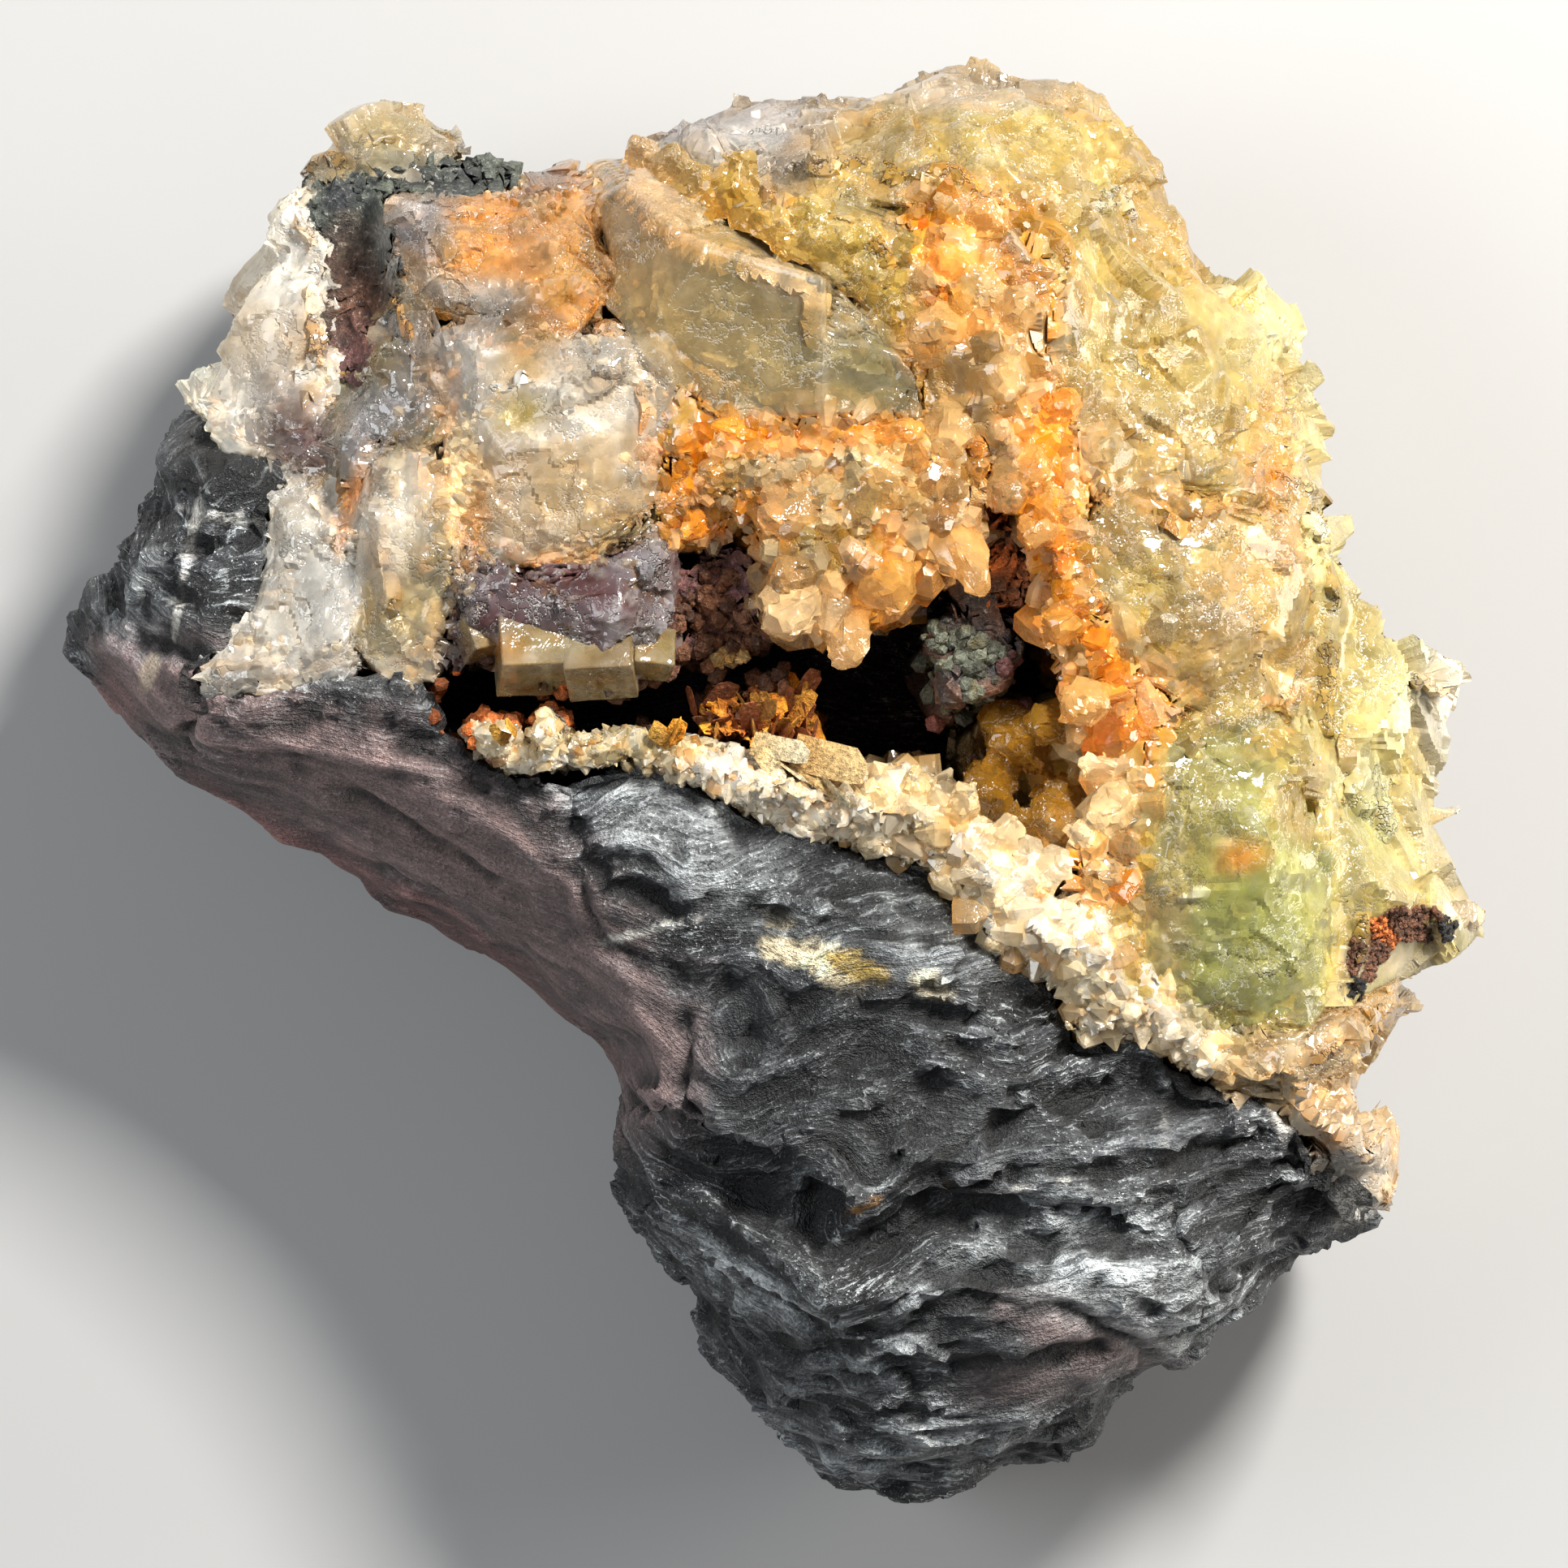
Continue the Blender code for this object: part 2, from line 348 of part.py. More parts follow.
def make_middle_crystals():
    feet = [(ON_SLAB + 3, 0.3), (ON_SLAB, 1)]
    outline = ring(along(COLUMN_PALE, 32.5, 33), along(PALE_CUBES, 33.5, 35),
                   along(turned(PALE_CLUSTER), 35, 37), along(turned(PALE_OLIVE), 37, 34.5),
                   along(turned(STAINED_PALE), 34, 32), along(LILAC_PALE, 32, 32.5))
    relief("fluorite_pale_block", "fluorite_pale", outline, feet,
           ridges=[[(-19, 21.6, 34.6), (-14.6, 21.4, 36), (-10.4, 20.6, 36.6), (-9.6, 16.8, 36.2)],
                   [(-18.4, 15.2, 34.4), (-14.4, 14.2, 34.6), (-11.2, 15.4, 35.4)]],
           peaks=[(-16, 18, 35.4), (-12.6, 18, 36), (-18.8, 25.4, 34.4), (-15.4, 24.8, 36.2),
                  (-11.4, 24.8, 37), (-12.6, 22.8, 37), (-9, 22.4, 37.2)])
    outline = ring(along(PALE_CUBES, 34, 35.5), along(CUBES_CLUSTER, 35, 34), along(CUBES_BRINK, 33.5, 31),
                   along(turned(COLUMN_CUBES), 31.5, 33))
    relief("fluorite_cube_row", "fluorite_purple", outline, [(OVERHANG, 1)],
           ridges=[[(-18.4, 9.2, 34), (-14.4, 9.6, 34.8), (-13.2, 8.6, 35), (-10.8, 8.2, 35.2),
                    (-8.8, 7.9, 34.6), (-7.4, 8.8, 34.4)]],
           peaks=[(-17.4, 11.4, 35.4), (-13.8, 11.4, 36.4), (-10.2, 11.6, 36.6), (-8, 12.6, 36.2),
                  (-15.6, 7.4, 33.4), (-11.2, 6.8, 34.2), (-7.9, 7.2, 33.6)])
    outline = ring(along(EDGE_OLIVE, 20, 20, THIN_TUCK), along(OLIVE_CREST, 21, 24),
                   along(OLIVE_HONEY, 26, 37), along(OLIVE_BAND, 37.5, 37.5),
                   along(turned(OLIVE_CLUSTER), 37.5, 37.5), along(turned(PALE_OLIVE), 37.5, 35),
                   along(turned(STAINED_OLIVE), 34.5, 25))
    relief("fluorite_olive_crystal", "fluorite_olive", outline, feet,
           ridges=[[(-9.6, 36.4, 30.4), (-6.4, 33.2, 36), (-2.4, 31.6, 40), (2.3, 30.2, 41.8),
                    (2.3, 26.4, 41), (2.2, 22.9, 38.8)]],
           peaks=[(-8.6, 31, 36.6), (-7.2, 27.4, 38.6), (-3, 27.4, 41), (-3.4, 23.8, 39.2),
                  (4.6, 26.2, 40), (6.6, 23.4, 38.4)])
    outline = ring(along(HONEY_CREST, 25, 36.5), along(turned(HONEY_BAND), 37, 37.5),
                   along(turned(OLIVE_HONEY), 37.5, 25))
    relief("fluorite_honey_wedge", "fluorite_honey", outline, feet,
           ridges=[[(-4.8, 35.9, 33), (-0.6, 34.6, 37.6), (4.6, 34, 39.2), (5, 31.8, 40),
                    (7, 28.4, 39.4)]],
           peaks=[(1.4, 32.4, 39.4), (2.8, 33.2, 39.8), (6.4, 32.6, 39)])
    outline = ring(along(PALE_CLUSTER, 36, 34), along(CUBES_CLUSTER, 33.5, 33),
                   along(CLUSTER_BRINK, 32.5, 35), along(turned(CLUSTER_BAND), 36.5, 38),
                   along(turned(OLIVE_CLUSTER), 37.5, 36.5))
    relief("quartz_center_cluster", "quartz_peach", outline, [(OVERHANG, 1)],
           ridges=[[(-5.6, 21, 37), (-1, 20.4, 38.4), (5, 20.2, 39.4), (9.4, 19.6, 38.6)],
                   [(0.4, 16.4, 40.4), (3.6, 16.8, 41.2), (6.6, 15.8, 40.6), (10, 15.4, 39.2)]],
           peaks=[(-5, 17.8, 36), (-2.6, 17.4, 36.4), (0.6, 12, 39.6), (2.6, 11.2, 39), (5.8, 12.6, 40),
                  (0.4, 14.4, 39.8), (8.6, 17.6, 39.6), (1.4, 18.4, 38)])
    outline = ring(along(CREST_BAND, 37, 36.5), along(BAND_TAN, 36.5, 35.5), along(BAND_GREEN, 35.5, 34.5),
                   along(turned(LIP_BAND), 34.5, 34), along(turned(BAND_BRINK), 34, 36.5),
                   along(turned(CLUSTER_BAND), 37, 38), along(turned(OLIVE_BAND), 38, 38),
                   along(HONEY_BAND, 38, 37))
    relief("quartz_amber_band", "quartz_amber", outline, feet,
           ridges=[[(9.8, 33.6, 38), (10.6, 30.2, 39.4), (11, 26.6, 40), (12, 23.4, 40.4), (13.4, 20.4, 40.6),
                    (14.8, 17.8, 40.2), (16.4, 14.4, 39), (16.9, 11.6, 38.4), (17.6, 9, 38),
                    (19.6, 6.4, 37.6), (20.6, 3.4, 37), (20.6, 0, 36.6), (19.8, -3.4, 36.2),
                    (19.2, -6, 35.6)]],
           peaks=[(13.6, 30.8, 38.6), (14.6, 27, 39.2), (15.4, 23.2, 39.4), (15.9, 20, 39)])


def make_right_crystals():
    feet = [(ON_SLAB + 3, 0.3), (ON_SLAB, 1)]
    outline = ring(along(EDGE_CREST, 17, 20, CRYSTAL_TUCK), along(turned(CREST_WING), 22, 30),
                   along(turned(CREST_TAN), 31, 36), along(turned(CREST_BAND), 36, 36.5),
                   along(turned(HONEY_CREST), 36, 25), along(turned(OLIVE_CREST), 24, 19))
    relief("fluorite_crest", "fluorite_yellow", outline, feet,
           ridges=[[(-6.4, 39, 26), (-2.6, 39.8, 27.4), (2, 40.6, 28.4), (6, 41.2, 28), (10.4, 41.6, 28),
                    (14.6, 41.4, 28.6), (18.4, 40.6, 28), (20.6, 38, 28), (21.6, 34.6, 28.6),
                    (23.8, 31.4, 29), (27.2, 29, 28), (29, 26.2, 27.6), (29.6, 22.6, 28.6),
                    (30.2, 19, 28.6)]],
           peaks=[(-3.4, 38, 31.4), (1.4, 37.6, 35.2), (4.6, 38.4, 34), (8.6, 38.6, 33), (7, 36.4, 36),
                  (12.6, 38, 33.4), (13.2, 35.4, 35.2), (16.6, 37, 32.8), (15.2, 34, 35), (19, 34, 33),
                  (18, 30.6, 35.4), (21.6, 29.8, 33.4), (19.4, 26.4, 36), (24.4, 26.6, 33.2),
                  (20, 22, 36.6), (23.4, 22.4, 35.6), (26.6, 23, 32.6), (21.6, 19.4, 36.2),
                  (26, 19.2, 34.6), (29.9, 28.1, 23), (22.2, 38, 23.6), (31.4, 22, 24.6)])
    outline = ring(along(CREST_TAN, 36, 31), along(TAN_WING, 30.5, 30), along(turned(TAN_GREEN), 30.5, 35.5),
                   along(turned(BAND_TAN), 35.5, 36.5))
    relief("fluorite_tan_crystal", "fluorite_tan", outline, feet,
           ridges=[[(22.6, 16.8, 37), (23, 13.4, 37.4), (24, 9.6, 37.4), (26.8, 6.6, 35.6)],
                   [(25, 15.6, 37), (30.2, 15, 33.6), (30.4, 11, 33.6), (28.4, 8, 35)]],
           peaks=[(19.6, 15, 37), (20.6, 12, 37), (26.8, 12, 36.8), (24, 6.4, 36), (30, 6.2, 32.6),
                  (21.6, 8.8, 36.8)])
    outline = ring(along(TAN_GREEN, 35.5, 30.5), along(GREEN_WING, 30, 30),
                   along(turned(GREEN_LOWER), 30.5, 32), along(turned(LIP_GREEN), 32.5, 34.5),
                   along(turned(BAND_GREEN), 34.5, 35.5))
    relief("fluorite_green_crystal", "fluorite_green", outline, feet,
           ridges=[[(24.6, 3, 36.4), (25.6, -1, 37), (24.4, -5.4, 36.6), (24.8, -9.6, 35.8)],
                   [(30, 3, 33.4), (29.4, -1.4, 35.6), (31.2, -6, 34.4), (31.6, -11.4, 32.8)]],
           peaks=[(28, -4.4, 36.8), (28, -9, 36), (28.4, -13, 33.4), (27.4, 1.4, 36.4), (22.9, -6.8, 35.6)])
    outline = ring(along(EDGE_WING, 19, 18, CRYSTAL_TUCK), along(turned(WING_LOWER), 20, 27),
                   along(turned(GREEN_WING), 29.5, 29.5), along(turned(TAN_WING), 30, 30),
                   along(CREST_WING, 29, 19))
    relief("fluorite_wing", "fluorite_bright", outline, [(16.5, 0.25), (13.5, 1)],
           ridges=[[(33.8, 13.6, 26), (35, 10.4, 27.4), (39.4, 7.2, 25.4), (41, 6, 23.4)],
                   [(36.8, -6.6, 28), (40.6, -8, 24.4), (42.8, -8.2, 21.6)]],
           peaks=[(34.4, 6.6, 29.4), (37.6, 4, 26.4), (34.6, 1.6, 30), (38.4, 0, 24.6), (34, -2, 30),
                  (38, -3.6, 25.2), (35.6, -9.4, 28.2), (36.6, -11.4, 25), (38.6, -9.8, 23.6)])
    outline = ring(along(GREEN_LOWER, 31.5, 29), along(WING_LOWER, 28.5, 20),
                   along(EDGE_LOWER, 18, 17, CRYSTAL_TUCK), along(turned(SCHIST_LOWER), 20, 31),
                   along(turned(LIP_LOWER), 31.5, 32))
    relief("quartz_lower_block", "quartz_white", outline, feet,
           ridges=[[(29.8, -16.8, 33), (33.6, -15.4, 32.4), (36.6, -14.2, 28)],
                   [(31.6, -18.8, 31.6), (34.2, -20.6, 28.6), (36.8, -22.4, 26)]],
           peaks=[(27.6, -17.2, 32.4), (35, -17.4, 29), (35.6, -24.8, 23.6), (34.2, -22.8, 27)])


def make_lip():
    """The druse along the schist's edge of the vug, and the single quartz point on it."""
    outline = ring(along(LIP_BRINK, 33.5, 34), along(LIP_BAND, 34, 34.5), along(LIP_GREEN, 34.5, 32.5),
                   along(LIP_LOWER, 32, 31.5), along(turned(SCHIST_LIP), 32, 34.5))
    relief("quartz_vug_lip", "quartz_lip", outline, [(ON_SLAB, 1)],
           ridges=[[(-11, 2, 35.6), (-7.4, 2, 36), (-3.4, 0.6, 36.2), (1.6, -0.8, 36.6), (5.4, -1.6, 36.8),
                    (8.6, -1.8, 37.4), (10.8, -4.2, 37.2), (13.2, -7, 37), (15.6, -9.2, 36.6),
                    (18.4, -11.4, 36), (21.6, -13.2, 35), (25.2, -15.4, 33.8)]],
           peaks=[(14.4, -5.2, 36), (18.4, -8.4, 36)])
    outline = ring(along(POINT_BRINK, 32.5, 33.5), along(turned(SCHIST_POINT), 34, 32.5))
    relief("quartz_point", "quartz_white", outline, [(ON_SLAB, 1)],
           peaks=[(-14.2, 3.4, 39), (-17.4, 3, 34.6), (-14.6, 1.6, 35.4), (-16.4, 1.8, 34.4)])


def make_vug_growths():
    """What grew inside the vug, each piece free of its walls."""
    outline = ring(along([(11.5, 4.4), (15, 4.7), (17, 4.4), (18, 2.8), (18.1, 0.8), (18.3, -1), (17.4, -3.2),
                          (16.6, -4.5), (15.2, -3.7), (13.6, -2.9), (12, -1.6), (10.6, 0), (10.6, 2.5),
                          (11.5, 4.4)], 20, 16))
    relief("fluorite_vug_crystals", "fluorite_honey", outline, [(ON_SLAB, 1)],
           ridges=[[(12.6, 3, 23), (13.6, 0.4, 21), (15, -2.4, 24)],
                   [(15, 3.8, 27), (16, 1, 27), (16.6, -3, 27)]],
           peaks=[(17, 3, 28)])
    outline = ring(along([(-4.9, 3.6), (-4.3, 5.2), (-3.5, 5.5), (-2.7, 4.7), (-1.6, 5.4), (-0.6, 6.3),
                          (0.1, 6.1), (0.9, 4.5), (2.1, 3.7), (1.4, 2.5), (-1, 2.8), (-3.2, 3.2),
                          (-4.9, 3.6)], 26, 28))
    relief("rust_blades", "rust", outline, [(ON_SLAB, 1)],
           ridges=[[(-3.8, 4.9, 30.5), (-3.2, 3.8, 29.4)], [(-0.6, 5.6, 31.5), (-0.9, 3.4, 30)]],
           peaks=[(0.9, 3.5, 29.6), (-2.1, 4.1, 28)])
    outline = ring(along([(9.2, 6.4), (9.9, 5.3), (11.3, 5.5), (12.6, 6.4), (13.2, 7.8), (13, 9.2),
                          (12.2, 10.4), (10.9, 10.3), (10, 9.2), (9, 7.8), (9.2, 6.4)], 28, 28))
    relief("chlorite_clump", "chlorite", outline, [(ON_SLAB, 1)],
           peaks=[(10.4, 7, 31), (11.6, 8.6, 32.4), (11.8, 6.8, 31), (10.4, 8.6, 31.4)])
    outline = ring(along([(10.4, 11.9), (11.2, 13), (12.2, 14.2), (12.9, 16), (14.3, 15.2), (14.4, 13.8),
                          (14.8, 12.2), (14.3, 11), (12.4, 11.1), (10.9, 11.2), (10.4, 11.9)], 29, 31))
    relief("limonite_boxwork", "boxwork", outline, [(ON_SLAB, 1)],
           peaks=[(12.2, 12.6, 33), (13.4, 14, 34), (13.6, 12.2, 32.4)])
    outline = ring(along([(-5.5, 8), (-5.7, 10.5), (-5.5, 13), (-4.8, 13.9), (-3, 14.2), (-1.9, 13.4),
                          (-2.1, 11), (-1.2, 9), (-2.4, 8.2), (-3.8, 7.3), (-5.5, 8)], 26, 28))
    relief("hematite_crust", "hematite", outline, [(ON_SLAB, 1)],
           peaks=[(-4.2, 9.4, 30), (-3.2, 11.6, 31.4), (-4.4, 12.6, 31), (-2.8, 9.6, 30)])


clear_scene()
CLUSTER = bpy.data.collections.new("fluorite_cluster")
bpy.context.scene.collection.children.link(CLUSTER)
LOOKS = {
    "schist": material("schist", (0.055, 0.058, 0.064), 0.6),
    "vein_quartz": material("vein_quartz", (0.62, 0.63, 0.6), 0.25, 0.4, 1.544),
    "quartz_lilac": material("quartz_lilac", (0.5, 0.44, 0.42), 0.3, 0.4, 1.544),
    "quartz_shoulder": material("quartz_shoulder", (0.68, 0.54, 0.42), 0.35, 0.3, 1.544),
    "quartz_peach": material("quartz_peach", (0.86, 0.5, 0.2), 0.15, 0.6, 1.544),
    "quartz_amber": material("quartz_amber", (0.84, 0.42, 0.12), 0.15, 0.6, 1.544),
    "quartz_white": material("quartz_white", (0.75, 0.66, 0.5), 0.2, 0.5, 1.544),
    "quartz_lip": material("quartz_lip", (0.8, 0.7, 0.5), 0.2, 0.5, 1.544),
    "fluorite_grey": material("fluorite_grey", (0.48, 0.46, 0.36), 0.2, 0.6, 1.434),
    "fluorite_clear": material("fluorite_clear", (0.55, 0.52, 0.3), 0.15, 0.7, 1.434),
    "fluorite_orange": material("fluorite_orange", (0.66, 0.36, 0.12), 0.25, 0.5, 1.434),
    "fluorite_pale": material("fluorite_pale", (0.56, 0.46, 0.28), 0.15, 0.7, 1.434),
    "fluorite_purple": material("fluorite_purple", (0.3, 0.18, 0.17), 0.2, 0.5, 1.434),
    "fluorite_olive": material("fluorite_olive", (0.34, 0.3, 0.14), 0.1, 0.7, 1.434),
    "fluorite_honey": material("fluorite_honey", (0.66, 0.46, 0.12), 0.12, 0.7, 1.434),
    "fluorite_yellow": material("fluorite_yellow", (0.7, 0.55, 0.22), 0.2, 0.6, 1.434),
    "fluorite_tan": material("fluorite_tan", (0.6, 0.42, 0.16), 0.15, 0.7, 1.434),
    "fluorite_green": material("fluorite_green", (0.5, 0.54, 0.2), 0.15, 0.7, 1.434),
    "fluorite_bright": material("fluorite_bright", (0.82, 0.8, 0.45), 0.2, 0.7, 1.434),
    "chlorite": material("chlorite", (0.1, 0.11, 0.09), 0.7),
    "rust": material("rust", (0.4, 0.1, 0.02), 0.6),
    "boxwork": material("boxwork", (0.22, 0.12, 0.07), 0.8),
    "hematite": material("hematite", (0.1, 0.04, 0.03), 0.6),
}
make_schist()
make_left_crystals()
make_middle_crystals()
make_right_crystals()
make_lip()
make_vug_growths()
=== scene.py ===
"""Fluorite cluster: the finished surfaces of its schist, crystals and druse, and a plain studio."""
import math
from collections import namedtuple

import bmesh
import bpy
import numpy as np
from bpy.props import FloatProperty, FloatVectorProperty, IntProperty, PointerProperty
from mathutils import Matrix, Vector
from mathutils.kdtree import KDTree


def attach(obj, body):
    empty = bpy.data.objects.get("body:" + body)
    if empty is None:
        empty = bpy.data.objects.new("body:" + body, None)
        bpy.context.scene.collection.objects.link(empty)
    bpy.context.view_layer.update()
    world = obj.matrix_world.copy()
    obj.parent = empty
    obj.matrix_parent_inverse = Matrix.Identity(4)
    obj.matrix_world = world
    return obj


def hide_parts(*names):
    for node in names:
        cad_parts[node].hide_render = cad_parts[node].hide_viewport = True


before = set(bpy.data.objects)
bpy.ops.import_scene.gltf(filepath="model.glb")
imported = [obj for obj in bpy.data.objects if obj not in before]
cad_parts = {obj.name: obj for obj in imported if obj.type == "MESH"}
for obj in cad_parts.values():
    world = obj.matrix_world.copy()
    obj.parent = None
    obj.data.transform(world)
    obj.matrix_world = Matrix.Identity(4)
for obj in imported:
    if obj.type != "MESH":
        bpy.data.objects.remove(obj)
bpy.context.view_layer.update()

bl_info = {
    "name": "Fluorite cluster",
    "version": (1, 0, 0),
    "blender": (4, 5, 0),
    "location": "View3D > Sidebar > Cluster",
    "description": "Finishes the crystals, druse and schist of a fluorite cluster",
    "category": "Object",
}

MM = 0.001
BODY = "root"
LATTICE = 32  # cells each way in a table of random values


# ---------------------------------------------------------------- sizes and colours a user may change

def size(name, description, default, low, high):
    """A number that a user may change, in mm."""
    return FloatProperty(name=name, description=description, default=default, min=low, max=high)


def colour(name, default):
    """A mineral colour that a user may change."""
    return FloatVectorProperty(name=name, description=f"Colour of {name.lower()}", default=default,
                               subtype="COLOR", size=3, min=0, max=1)


class ClusterSizes(bpy.types.PropertyGroup):
    schist_grain: size("Schist grain", "Edge length of the schist's mesh, in mm", 0.42, 0.3, 3)
    swell: size("Swell", "How far a crystal grows into the gap to its neighbour, in mm", 0.2, 0, 1)
    foliation: size("Foliation", "Height of the schist's folia, in mm", 0.42, 0, 2)
    druse_count: IntProperty(name="Druse count", description="Number of small crystals tried",
                             default=9000, min=0, max=40000)
    lens: FloatProperty(name="Lens", description="The camera's focal length", default=300, unit="CAMERA")


class ClusterColours(bpy.types.PropertyGroup):
    rust: colour("Rust", (0.46, 0.12, 0.02))
    orange: colour("Orange stain", (0.76, 0.32, 0.015))
    amber: colour("Amber", (0.62, 0.32, 0.035))
    honey: colour("Honey", (0.41, 0.275, 0.06))
    peach: colour("Peach", (0.58, 0.37, 0.15))
    cream: colour("Cream", (0.80, 0.67, 0.42))
    white: colour("White", (0.86, 0.82, 0.73))
    pale: colour("Pale yellow", (0.68, 0.64, 0.34))
    lemon: colour("Lemon", (0.45, 0.35, 0.085))
    leaf: colour("Yellow-green", (0.44, 0.35, 0.10))
    sea: colour("Sea green", (0.32, 0.32, 0.08))
    olive: colour("Olive", (0.50, 0.385, 0.16))
    smoke: colour("Smoke", (0.20, 0.17, 0.06))
    tan: colour("Tan", (0.48, 0.33, 0.14))
    grey: colour("Grey", (0.53, 0.51, 0.46))
    lilac: colour("Lilac", (0.27, 0.25, 0.26))
    purple: colour("Purple-brown", (0.12, 0.05, 0.05))
    brown: colour("Brown", (0.12, 0.05, 0.025))
    black: colour("Black", (0.012, 0.011, 0.010))
    slate: colour("Slate", (0.036, 0.038, 0.040))
    silver: colour("Silver", (0.34, 0.36, 0.36))
    mauve: colour("Mauve", (0.18, 0.12, 0.11))
    russet: colour("Russet", (0.26, 0.10, 0.085))
    moss: colour("Grey-green", (0.09, 0.10, 0.075))


def sizes():
    """The sizes that the user has set."""
    return bpy.context.scene.cluster_sizes


def shade(name):
    """A mineral colour by its name."""
    return np.array(getattr(bpy.context.scene.cluster_colours, name))
